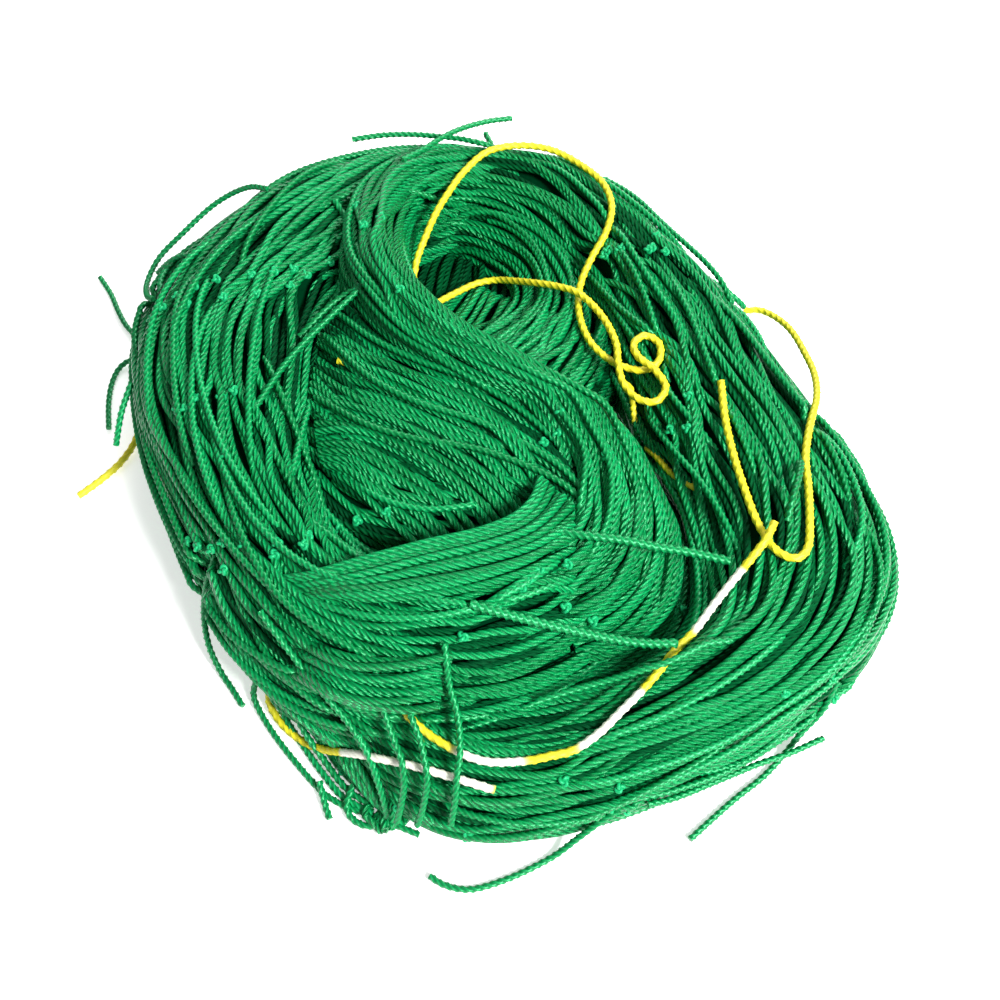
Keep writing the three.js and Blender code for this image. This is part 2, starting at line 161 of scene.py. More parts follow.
def twisted_lines(tree, given):
    # the lines, with points every step, each turned further round the line than the one before
    lines = add_node(tree, "GeometryNodeMeshToCurve", inputs={"Mesh": given["Geometry"]})
    smooth = add_node(tree, "GeometryNodeCurveSplineType", {"spline_type": "CATMULL_ROM"}, {"Curve": lines})
    even = add_node(
        tree, "GeometryNodeResampleCurve", {"mode": "LENGTH"}, {"Curve": smooth, "Length": given["Step"]}
    )
    length = add_node(tree, "GeometryNodeSplineParameter").outputs["Length"]
    phase = add_node(tree, "GeometryNodeInputNamedAttribute", {"data_type": "FLOAT"}, {"Name": "phase"})
    turns = add_node(tree, MATH, {"operation": "DIVIDE"}, [length, given["Twist length"]])
    turned = add_node(tree, MATH, {"operation": "MULTIPLY_ADD"}, [turns, 2 * math.pi, phase])
    tilted = add_node(tree, "GeometryNodeSetCurveTilt", inputs={"Curve": even, "Tilt": turned})
    kept = add_node(tree, "GeometryNodeCaptureAttribute")
    kept.capture_items.new("FLOAT", "along")
    tree.links.new(tilted.outputs[0], kept.inputs[0])
    tree.links.new(length, kept.inputs[1])
    return kept.outputs[0], kept.outputs[1]


def lobed_profile(tree, given):
    # a small ring whose every second corner is drawn in, which leaves one lobe for each ply
    radius = add_node(tree, MATH, {"operation": "DIVIDE"}, [given["Diameter"], 2.0])
    ring = add_node(
        tree, "GeometryNodeCurvePrimitiveCircle", {"mode": "RADIUS"},
        {"Resolution": given["Corners"], "Radius": radius},
    )
    index = add_node(tree, "GeometryNodeInputIndex")
    odd = add_node(tree, MATH, {"operation": "MODULO"}, [index, 2.0])
    shrink = add_node(tree, MATH, {"operation": "MULTIPLY"}, [odd, given["Groove"]])
    size = add_node(tree, MATH, {"operation": "SUBTRACT"}, [1.0, shrink])
    place = add_node(tree, "GeometryNodeInputPosition")
    scaled = add_node(tree, "ShaderNodeVectorMath", {"operation": "SCALE"}, {"Vector": place, "Scale": size})
    shaped = add_node(tree, "GeometryNodeSetPosition", inputs={"Geometry": ring, "Position": scaled})
    share = add_node(tree, "GeometryNodeSplineParameter").outputs["Factor"]
    kept = add_node(tree, "GeometryNodeCaptureAttribute")
    kept.capture_items.new("FLOAT", "around")
    tree.links.new(shaped.outputs[0], kept.inputs[0])
    tree.links.new(share, kept.inputs[1])
    return kept.outputs[0], kept.outputs[1]


def seam_safe(tree, around):
    # the ring's last face ends at its first corner, whose place has to read one and not nought
    face = add_node(tree, "GeometryNodeFieldOnDomain", {"domain": "FACE", "data_type": "FLOAT"}, [around])
    first = add_node(tree, MATH, {"operation": "LESS_THAN"}, [around, FIRST_CORNER])
    last = add_node(tree, MATH, {"operation": "GREATER_THAN"}, [face, FIRST_FACE])
    both = add_node(tree, MATH, {"operation": "MULTIPLY"}, [first, last])
    return add_node(tree, MATH, {"operation": "ADD"}, [around, both])


def make_twine_tree():
    tree = new_geometry_tree("Twine along lines", TWINE_INPUTS)
    given = add_node(tree, "NodeGroupInput").outputs
    line, along = twisted_lines(tree, given)
    profile, around = lobed_profile(tree, given)
    swept = add_node(
        tree, "GeometryNodeCurveToMesh", inputs={"Curve": line, "Profile Curve": profile, "Fill Caps": True}
    )
    place = add_node(tree, "ShaderNodeCombineXYZ", inputs=[seam_safe(tree, around), along])
    mapped = add_node(
        tree, "GeometryNodeStoreNamedAttribute", {"data_type": "FLOAT2", "domain": "CORNER"},
        {"Geometry": swept, "Name": "UVMap", "Value": place},
    )
    close_geometry_tree(tree, mapped, given["Material"])
    return tree


twine_tree = make_twine_tree()
print("twine tree:", len(twine_tree.nodes), "nodes")

# %% [markdown]
# ## From lines to a plain mesh
#
# Lines with a random phase and shade for each twine go in, and a plain mesh comes out. The modifier's
# inputs are set before Blender first evaluates the object, and the result is copied into a mesh of its
# own, so nothing live is left on the finished piece.


# %% Lines, and the pieces made from them
def new_mesh(name, points, edges=(), faces=()):
    mesh = bpy.data.meshes.new(name)
    mesh.from_pydata(points.tolist(), edges, faces)
    return mesh


def lines_object(name, paths, values):
    # values holds one number for each path, or one for each point, under each attribute's name
    starts = np.cumsum([0] + [len(path) for path in paths])
    edges = [(k, k + 1) for a, b in zip(starts[:-1], starts[1:]) for k in range(a, b - 1)]
    mesh = new_mesh(name, np.concatenate(paths), edges)
    for label, each in values.items():
        spread = [np.broadcast_to(value, len(path)) for value, path in zip(each, paths)]
        layer = mesh.attributes.new(label, "FLOAT", "POINT")
        layer.data.foreach_set("value", np.concatenate(spread).astype(np.float32))
    return new_object(name, mesh)


def apply_tree(piece, tree, settings):
    modifier = piece.modifiers.new("nodes", "NODES")
    modifier.node_group = tree
    for item in tree.interface.items_tree:
        if item.in_out == "INPUT" and item.name in settings:
            modifier[item.identifier] = settings[item.name]
    graph = bpy.context.evaluated_depsgraph_get()
    mesh = bpy.data.meshes.new_from_object(piece.evaluated_get(graph))
    piece.modifiers.clear()
    piece.data = mesh
    mesh.name = piece.name


def triangles(piece):
    piece.data.calc_loop_triangles()
    return len(piece.data.loop_triangles)


# %% [markdown]
# ## What the twine is made of
#
# Polyethylene twine is a bundle of fine, smooth threads. It is a strong green all through and has a fairly
# tight highlight that breaks up along the threads. The colour differs a little from twine to twine, as
# light and dust do on a real net. The yellow cord is the same plastic. In some stretches the yellow is
# painted white, a painted highlight where the cord shines burnt-out white.

# %% Colours
GREEN = "#007E3E"
GREEN_LIGHT = "#0AA65C"
# painted shade: the next three greens are the twine's own green darkened as it looks in shadow, for the
# grooves, the layer below and the inside
GREEN_SHADE = "#005A2C"
GREEN_SHADE_DARK = "#00361A"
GREEN_INSIDE_SHADE = "#00200F"
KNOT_LIGHT = "#23B87A"
YELLOW = "#ECE62A"
YELLOW_DEEP = "#D6C81C"
PAINTED_HIGHLIGHT_WHITE = "#F4F4E4"
GLINT = "#90FFC0"
FLOOR = "#F4F4F3"


def linear(code):
    # a hex colour as the eye reads it, turned into the light that Blender reckons with
    parts = [int(code[k:k + 2], 16) / 255 for k in (1, 3, 5)]
    return [p / 12.92 if p <= 0.04045 else ((p + 0.055) / 1.055) ** 2.4 for p in parts] + [1.0]


# %% Starting and closing a material
MIX = "ShaderNodeMix"
COLOURS = {"data_type": "RGBA"}
BUMP_STRENGTH = 0.8


def new_material(name):
    material = bpy.data.materials.new(name)
    material.use_nodes = True
    material.node_tree.nodes.clear()
    return material, material.node_tree


def close_material(tree, inputs):
    shader = add_node(tree, "ShaderNodeBsdfPrincipled", inputs=inputs)
    add_node(tree, "ShaderNodeOutputMaterial", inputs={"Surface": shader})


def patches(tree, size, detail):
    # an uneven pattern fixed to the object, in patches of a real size in metres
    place = add_node(tree, "ShaderNodeTexCoord").outputs["Object"]
    return add_node(tree, "ShaderNodeTexNoise", inputs={"Vector": place, "Scale": 1 / size, "Detail": detail})


def patchy_material(name, dark, light, size, detail, depth, look):
    # a material whose colour and bump follow the same patches
    material, tree = new_material(name)
    height = patches(tree, size, detail)
    colour = add_node(tree, MIX, COLOURS, {"Factor": height, "A": linear(dark), "B": linear(light)})
    bump = add_node(
        tree, "ShaderNodeBump", inputs={"Strength": BUMP_STRENGTH, "Distance": depth, "Height": height}
    )
    close_material(tree, {"Base Color": colour, "Normal": bump, **look})
    return material


# %% [markdown]
# ## Twine materials
#
# Close up, each ply shows the fine threads it is spun from, so a small bump runs along the plies. The
# cords, the loose ends and the short and crossing twines have their plies as real geometry. The hundreds
# of twines packed in the hank are plain tubes, and on them bump and colour draw the plies. On every
# twine the colour is darker in the grooves between the plies, which is painted shade.

# %% Materials for twine
PLIES = 3
TWINE_TWIST = 4.8 * MM
CORD_TWIST = 6.5 * MM
TWIST_DEPTH = 0.1 * MM
CORD_DEPTH = 0.1 * MM
# drawn a little coarser than real plies, every 1.8 mm along the twine instead of 1.6, so that they show
DRAWN_BANDS = 4
DRAWN_TWIST = 7.2 * MM
DRAWN_DEPTH = 0.36 * MM
# how far the colour darkens towards the darkest green in the grooves between the plies: painted shade
GROOVE_SHADE = 0.62
# the real threads are too fine to show, so these are drawn about 0.24 mm wide
THREADS = 21
THREAD_SHARE = 0.05
# handling has turned the plies here and there, by up to this share of a turn
WEAR_SIZE = 3.846 * MM
WEAR_TURN = 0.3
WEAR_DETAIL = 2.0
# a twine's tone runs from dark to light with its own shade, and in soft stretches along it
SHADE_START = -0.2
SHADE_SPAN = 0.9
TONE_SIZE = 11.11 * MM
TONE_SPAN = 0.4
YELLOW_SIZE = 7.143 * MM
TONE_DETAIL = 3.0
PLASTIC_IOR = 1.5
CORD_ROUGHNESS = 0.5
# name, dark and light colour, plies drawn or not, their depth, roughness, gloss
TWINE_LOOKS = [
    ["green_twine_twisted", GREEN, GREEN_LIGHT, False, TWIST_DEPTH, 0.33, 0.9],
    ["green_twine", GREEN, GREEN_LIGHT, True, DRAWN_DEPTH, 0.34, 0.65],
    # the layer below: the same twine painted darker and duller, as painted shade
    ["green_twine_below", GREEN_SHADE_DARK, GREEN_SHADE, True, DRAWN_DEPTH, 0.6, 0.12],
]


def ring_place(tree):
    # how far round the twine, and how far along it in metres
    uv = add_node(tree, "ShaderNodeUVMap")
    return add_node(tree, "ShaderNodeSeparateXYZ", inputs=[uv]).outputs[:2]


def ply_height(tree, drawn):
    # nought in the grooves and one on top of each ply; drawn plies also have to turn along the twine
    around, along = ring_place(tree)
    bands = PLIES
    if drawn:
        bands = DRAWN_BANDS
        phase = add_node(tree, "ShaderNodeAttribute", {"attribute_name": "phase"}).outputs["Fac"]
        wear = patches(tree, WEAR_SIZE, WEAR_DETAIL)
        turned = add_node(tree, MATH, {"operation": "DIVIDE"}, [along, DRAWN_TWIST])
        turned = add_node(tree, MATH, {"operation": "MULTIPLY_ADD"}, [phase, 1 / (2 * math.pi), turned])
        turned = add_node(tree, MATH, {"operation": "MULTIPLY_ADD"}, [wear, WEAR_TURN, turned])
        around = add_node(tree, MATH, {"operation": "SUBTRACT"}, [around, turned])
    angle = add_node(tree, MATH, {"operation": "MULTIPLY"}, [around, 2 * math.pi * bands])
    wave = add_node(tree, MATH, {"operation": "COSINE"}, [angle])
    return add_node(tree, MATH, {"operation": "MULTIPLY_ADD"}, [wave, 0.5, 0.5])


def twine_bump(tree, ply, depth):
    # the plies, and on them the fine threads that each is spun from
    around, _ = ring_place(tree)
    angle = add_node(tree, MATH, {"operation": "MULTIPLY"}, [around, 2 * math.pi * THREADS])
    thread = add_node(tree, MATH, {"operation": "SINE"}, [angle])
    height = add_node(tree, MATH, {"operation": "MULTIPLY_ADD"}, [thread, THREAD_SHARE, ply])
    return add_node(tree, "ShaderNodeBump", inputs={"Strength": 1.0, "Distance": depth, "Height": height})


def twine_material(name, dark, light, drawn, depth, roughness, gloss):
    material, tree = new_material(name)
    shade = add_node(tree, "ShaderNodeAttribute", {"attribute_name": "shade"}).outputs["Fac"]
    shade = add_node(tree, MATH, {"operation": "MULTIPLY_ADD"}, [shade, SHADE_SPAN, SHADE_START])
    stretch = patches(tree, TONE_SIZE, TONE_DETAIL)
    tone = add_node(tree, MATH, {"operation": "MULTIPLY_ADD"}, [stretch, TONE_SPAN, shade])
    colour = add_node(tree, MIX, COLOURS, {"Factor": tone, "A": linear(dark), "B": linear(light)})
    ply = ply_height(tree, drawn)
    # painted shade: the colour is darkened in the grooves between the plies
    groove = add_node(tree, MIX, COLOURS, {"Factor": GROOVE_SHADE, "A": colour, "B": linear(GREEN_SHADE_DARK)})
    shown = add_node(tree, MIX, COLOURS, {"Factor": ply, "A": groove, "B": colour})
    close_material(tree, {
        "Base Color": shown, "Normal": twine_bump(tree, ply, depth), "Roughness": roughness,
        "IOR": PLASTIC_IOR, "Specular IOR Level": gloss, "Specular Tint": linear(GLINT),
    })
    return material


def cord_material():
    material, tree = new_material("yellow_cord")
    stretch = patches(tree, YELLOW_SIZE, TONE_DETAIL)
    yellow = add_node(
        tree, MIX, COLOURS, {"Factor": stretch, "A": linear(YELLOW_DEEP), "B": linear(YELLOW)}
    )
    faded = add_node(tree, "ShaderNodeAttribute", {"attribute_name": "faded"}).outputs["Fac"]
    # the white stretches are a painted highlight over the yellow
    colour = add_node(tree, MIX, COLOURS, {"Factor": faded, "A": yellow, "B": linear(PAINTED_HIGHLIGHT_WHITE)})
    bump = twine_bump(tree, ply_height(tree, False), CORD_DEPTH)
    close_material(tree, {
        "Base Color": colour, "Normal": bump, "Roughness": CORD_ROUGHNESS, "IOR": PLASTIC_IOR,
    })
    return material


loose_twine, green_twine, shaded_twine = [twine_material(*look) for look in TWINE_LOOKS]
yellow_cord = cord_material()
print("materials:", [m.name for m in (loose_twine, green_twine, shaded_twine, yellow_cord)])

# %% [markdown]
# ## The loose cords and ends
#
# The cords come first, because they decide how far the piece reaches. Each is one fixed length of
# something limp: it leaves the hank, lies on it or on the floor, and either ends there or goes back in.
# The points are given along the middle of the cord, in millimetres.

# %% Routes of the yellow border cord and of the loose ends
BORDER_ROUTES = {
    # out beside the eye, over the back, round a small slip knot and down into the hank again
    "border_cord_loop": [
        [-21.4, 42, 28], [-20.4, 45.6, 31], [-18.6, 50, 33.2], [-16, 56.6, 35], [-13, 62.4, 36.2],
        [-9, 69, 37.2], [-3, 74.6, 38.6], [5, 76.5, 38.8], [13, 75, 38.8], [20, 70.5, 38.4],
        [25.5, 64.5, 38], [27.5, 57, 37.6], [26, 50, 36], [22.5, 44.5, 33], [20, 39.5, 30.4], [19, 34, 29],
        [19.5, 27.5, 29], [21.5, 21.5, 29], [25, 17, 29], [29, 14, 29.4], [33.5, 12.5, 30.2],
        [37, 14.5, 31.2], [37.2, 18.8, 32], [34, 20.8, 32.4], [31.2, 18.2, 32.6], [32, 14.2, 33],
        [35.5, 10.5, 33], [37.8, 6.2, 32.2], [35.5, 2.8, 31.4], [31.5, 3.8, 31], [28.4, 8, 31],
        [27.4, 13, 31.6], [27.2, 18.5, 32], [25.5, 24.5, 31.8], [22.5, 30, 31.8], [18.5, 34.6, 31.6],
        [13.5, 38.5, 29.4], [8.5, 42, 26.5], [3.5, 46, 22.6], [-1, 49, 19.4], [-6, 48.5, 18.6],
        [-11, 45, 19.2], [-15, 41.2, 20.4], [-19, 36.6, 22.2],
    ],
    # a free end on the right flank, round and over its outer edge, and back in under it
    "border_cord_right": [
        [50, 6, 34.6], [50, -4, 34.4], [51, -13, 33.8], [52.5, -21, 33.4], [54.5, -29, 32.8],
        [57.5, -35.5, 32.6], [61.5, -38, 33], [64.4, -35.5, 33.2], [65.6, -29, 33.4], [66.4, -21, 33.4],
        [67, -13, 32.8], [69.5, -4, 31.2], [73.4, 6.5, 27.6], [75, 16, 24], [74.5, 25, 20.8],
        [73, 33, 18.6], [70.5, 39, 16.4], [67, 43, 14.6], [63, 43.8, 13.4],
    ],
    # a free end that lies across the last one and runs along under the front sweep
    "border_cord_front": [
        [57.6, -30.6, 35], [55.4, -34.6, 35], [52, -38.5, 33.4], [48.5, -42, 30.6], [44.5, -46.5, 28.6],
        [40, -52, 27], [35.6, -56.4, 26.8], [32, -61, 27.6], [28, -65, 26], [24, -68.6, 24.6],
        [20, -72, 22.6], [15, -75, 21], [10, -76.2, 20.6], [5, -77, 20], [-2, -77.2, 20], [-7, -76, 20.6],
        [-11, -74, 21], [-15, -71.4, 21.2], [-18.5, -68.6, 22.6], [-21, -65.6, 25],
    ],
    # out under the lower left of the hank, up over its front edge to a free end
    "border_cord_front_low": [
        [-50.6, -54.6, 6], [-51.4, -57.6, 2.8], [-50, -60.6, 1.3], [-47, -64, 1.1], [-42.5, -67.4, 2],
        [-38, -69.8, 5], [-34, -71.6, 9], [-29, -73.6, 13.4], [-24, -75.5, 16.4], [-18, -77.2, 17.8],
        [-12, -79, 18], [-6, -80.8, 18], [-1, -82.3, 17.8],
    ],
    # out under the left flank to a free end on the floor
    "border_cord_left_tail": [
        [-89.4, 22, 9], [-90.4, 17, 5.6], [-92, 11, 2.6], [-95, 5.5, 1.3], [-99, 0.5, 1.1],
        [-104, -4.5, 1.1],
    ],
}

TWINE_ROUTES = {
    "twine_end_left_up": [
        [-88.6, 37, 9], [-92, 40.4, 4.6], [-97, 44.6, 1.6], [-101, 49, 0.9], [-104, 54, 0.9],
        [-107, 60, 0.9], [-111, 66, 0.9],
    ],
    "twine_end_left_down": [
        [-89.2, 30.6, 9.4], [-93.4, 34.2, 5.4], [-97.6, 36.6, 2], [-100.4, 34.6, 1.1], [-101.6, 30, 0.9],
        [-101.4, 23.6, 0.9], [-100, 15.6, 0.9],
    ],
    "twine_end_left_arc": [
        [-58, 63, 37.4], [-63, 66, 35], [-69, 67.4, 31], [-75, 66, 27.4], [-82, 61.4, 23.4],
        [-87.6, 57.4, 20], [-90, 53.4, 18.4], [-90.6, 48, 18.6], [-88.6, 41.6, 22], [-84.6, 35.4, 28],
    ],
    "twine_end_back_left": [
        [-6, 78.8, 37.8], [-10, 80, 37.8], [-15, 81, 37.6], [-22, 82, 37.4], [-30, 82, 37.2],
        [-38, 80.6, 37],
    ],
    "twine_end_back_right": [
        [-24, 67, 43], [-19, 72, 41.8], [-14, 77.6, 40.8], [-9, 81.6, 40], [-3, 85, 39], [3, 87, 38.2],
    ],
    "twine_end_right_edge": [
        [56.4, 33.4, 28.6], [54.2, 38.4, 30.4], [51, 43.4, 31.4], [47, 48.6, 31.8], [43, 53.8, 31.8],
        [39.4, 59, 31.6], [36, 64.4, 31.2], [32, 69.4, 30.6], [27, 73.8, 30.2],
    ],
    "twine_end_right_down": [
        [68.4, 15.8, 8.2], [73.4, 17.6, 5.6], [78, 17.6, 3], [82, 16.4, 1.4], [86, 13.6, 0.9], [88, 9, 0.9],
        [90, 4, 0.9], [91, -1, 0.9],
    ],
    "twine_end_front_right_low": [
        [72.4, -57.4, 13], [70, -61.8, 7.6], [66, -65.4, 2.8], [62, -69.8, 1.2], [57, -74.6, 0.9],
        [51, -79, 0.9], [46, -83, 0.9], [40, -88, 0.9],
    ],
    "twine_end_front_right_high": [
        [30.6, -82.8, 8.6], [37, -80.8, 7], [46, -77, 5.8], [55, -73.2, 5], [62.6, -70.6, 5],
        [70, -67.4, 5],
    ],
    "twine_end_front_low": [
        [24.4, -84.2, 9.6], [20.6, -86, 7.6], [16, -88.6, 4.2], [11, -91.6, 1.2], [5, -94.6, 0.9],
        [0, -96.6, 0.9], [-5, -98, 0.9], [-8.6, -98, 0.9], [-12, -97, 0.9], [-14.6, -95.4, 0.9],
    ],
    "twine_end_left_foot": [
        [-61.6, -33, 25], [-64.4, -37, 18.6], [-66, -41, 12], [-65.6, -46, 6], [-63.4, -50.4, 1.8],
        [-60.4, -54.4, 0.9], [-57.4, -58.6, 0.9],
    ],
    "twine_end_left_front": [
        [-54, -54.2, 6], [-55, -56.6, 2.4], [-53, -60.6, 1.1], [-48.6, -66.6, 0.9], [-43, -73, 0.9],
        [-38, -78, 0.9], [-33, -81, 0.9], [-27, -83, 0.9], [-22, -85, 0.9], [-17, -87, 0.9],
    ],
    "twine_end_over_slit": [
        [7, -32.6, 35.4], [13, -33.6, 36], [19, -34.6, 36.4], [26, -35.2, 35.6], [33, -36, 34],
        [40, -36.6, 32.8], [48, -38, 31.6],
    ],
    "twine_end_over_front": [
        [-6, -51, 38.6], [0, -52.2, 37], [10, -53.6, 34], [21, -55, 31.2], [29, -55.8, 30],
        [36, -55.6, 29.6],
    ],
    "twine_end_over_front_low": [
        [8, -66, 24.6], [15, -64, 25.4], [22, -62.4, 26.6], [29, -61, 29], [34, -59.8, 30.2],
        [38, -58, 30.4], [42, -56, 30.4], [47, -55.2, 30.2],
    ],
    "twine_end_hanging_mid": [
        [-11, -58, 35.4], [-10.6, -61.6, 32.6], [-10, -65, 29], [-8.6, -69, 26], [-8, -73, 24.2],
        [-8, -76.6, 23], [-8.6, -80.2, 20.8], [-9, -83.8, 17.4], [-10, -87.6, 11.6],
    ],
    "twine_end_hanging_second": [
        [-20, -61.2, 30.4], [-18.8, -65.6, 27.2], [-17.6, -70, 25.2], [-16, -73.6, 23.4],
        [-15, -77.6, 21.6], [-14.6, -81, 19.4], [-15.6, -84.6, 14], [-17, -87, 8.6],
    ],
    "twine_end_hanging_left": [
        [-25.2, -61, 29.4], [-24.2, -65.2, 26.2], [-22.8, -69.8, 23.6], [-21.2, -73.6, 21.6],
        [-19.8, -77, 20.4], [-19.4, -80.6, 17], [-20.2, -83.6, 12], [-21.4, -86, 7],
    ],
    "twine_end_hanging_far_left": [
        [-49, -49.4, 31.6], [-45, -54.2, 29], [-40, -59.8, 25.4], [-35, -65, 22.4], [-31, -69, 19.4],
        [-28.6, -72.2, 17.8],
    ],
}

# %% [markdown]
# ## Facts of each cord
#
# A cord is measured from the place where it leaves the hank. Two of the yellow stretches were written
# from their free end, so they are turned round. In a few stretches the yellow is painted white as a
# painted highlight; these are given in millimetres along the route as it is written.

# %% Cord facts and pieces
TWINE = 1.6 * MM
DOUBLED = 2.2 * MM
DOUBLED_TWINES = ["twine_end_over_slit", "twine_end_over_front"]
BORDER = 1.9 * MM
WRITTEN_FROM_FREE_END = ["border_cord_right", "border_cord_front"]
# cord, and where the painted white highlight starts and stops
PAINTED_HIGHLIGHT_STRETCHES = [
    ["border_cord_front", 12, 29.5],
    ["border_cord_front", 46, 64],
    ["border_cord_front", 74.5, 90],
    ["border_cord_front_low", 31, 67.6],
]
HIGHLIGHT_BLEND = 0.8
CORD_STEP = 1.0
FINE_STEP = 0.4 * MM
CORNERS = 2 * PLIES
GROOVE = 0.2
CORD_GROOVE = 0.14
CURVE_POINTS = 12


def curve_between(before, start, stop, after, share):
    # a smooth curve from start to stop, at a share of the way, led by the points before and after
    pull = 2 * start + (stop - before) * share
    bend = (2 * before - 5 * start + 4 * stop - after) * share ** 2
    turn = (3 * start - before - 3 * stop + after) * share ** 3
    return 0.5 * (pull + bend + turn)


def line_lengths(points):
    gaps = np.linalg.norm(np.diff(points, axis=0), axis=1)
    return np.concatenate([[0], np.cumsum(gaps)])


def smooth_line(points, step):
    # one smooth curve through the points, and then a point every step along it
    points = np.array(points, float)
    ends = np.vstack([2 * points[0] - points[1], points, 2 * points[-1] - points[-2]])
    share = np.linspace(0, 1, CURVE_POINTS, endpoint=False)[:, None]
    dense = [curve_between(*four, share) for four in zip(ends, ends[1:], ends[2:], ends[3:])]
    dense = np.vstack(dense + [points[-1:]])
    reached = line_lengths(dense)
    even = np.linspace(0, reached[-1], max(2, round(reached[-1] / step) + 1))
    return np.stack([np.interp(even, reached, dense[:, k]) for k in range(3)], axis=1)


# how far each point lies inside a painted white highlight, from nought to one
def painted_highlight_of(name, line):
    reached = line_lengths(line)
    faded = np.zeros(len(line))
    for cord, start, stop in PAINTED_HIGHLIGHT_STRETCHES:
        if cord == name:
            inside = np.minimum(reached - start, stop - reached)
            faded = np.maximum(faded, np.clip(inside / HIGHLIGHT_BLEND, 0, 1))
    return faded


def make_cord(name, route, diameter, twist, groove, material, phase):
    line = smooth_line(route, CORD_STEP)
    faded = painted_highlight_of(name, line)
    if name in WRITTEN_FROM_FREE_END:
        line, faded = line[::-1], faded[::-1]
    path = line * MM
    piece = lines_object(name.replace("twine_end", "loose_end") + "_visual", [path], {
        "phase": [phase], "shade": [0.5], "faded": [faded],
    })
    apply_tree(piece, twine_tree, {
        "Diameter": diameter, "Twist length": twist, "Step": FINE_STEP, "Groove": groove,
        "Corners": CORNERS, "Material": material,
    })
    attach(piece, "root")
    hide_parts(name)
    length = line_lengths(path)[-1]
    print(f"{piece.name}: {length / MM:.0f} mm long, {triangles(piece)} triangles")
    return line


cord_lines = {}
for turn, (name, route) in enumerate(BORDER_ROUTES.items()):
    cord_lines[name] = make_cord(
        name, route, BORDER, CORD_TWIST, CORD_GROOVE, yellow_cord, turn
    )
for turn, (name, route) in enumerate(TWINE_ROUTES.items()):
    across = DOUBLED if name in DOUBLED_TWINES else TWINE
    cord_lines[name] = make_cord(
        name, route, across, TWINE_TWIST, GROOVE, loose_twine, turn
    )

# %% [markdown]
# ## The folded form
#
# The skein doubles back over itself, so it is described as a few lays. Each row of a table is one section
# across a lay: its outer and its inner edge on the floor plan, and the height at each, in millimetres.
# The twines can then be placed by two simple numbers, how far along the lay and how far round its section.

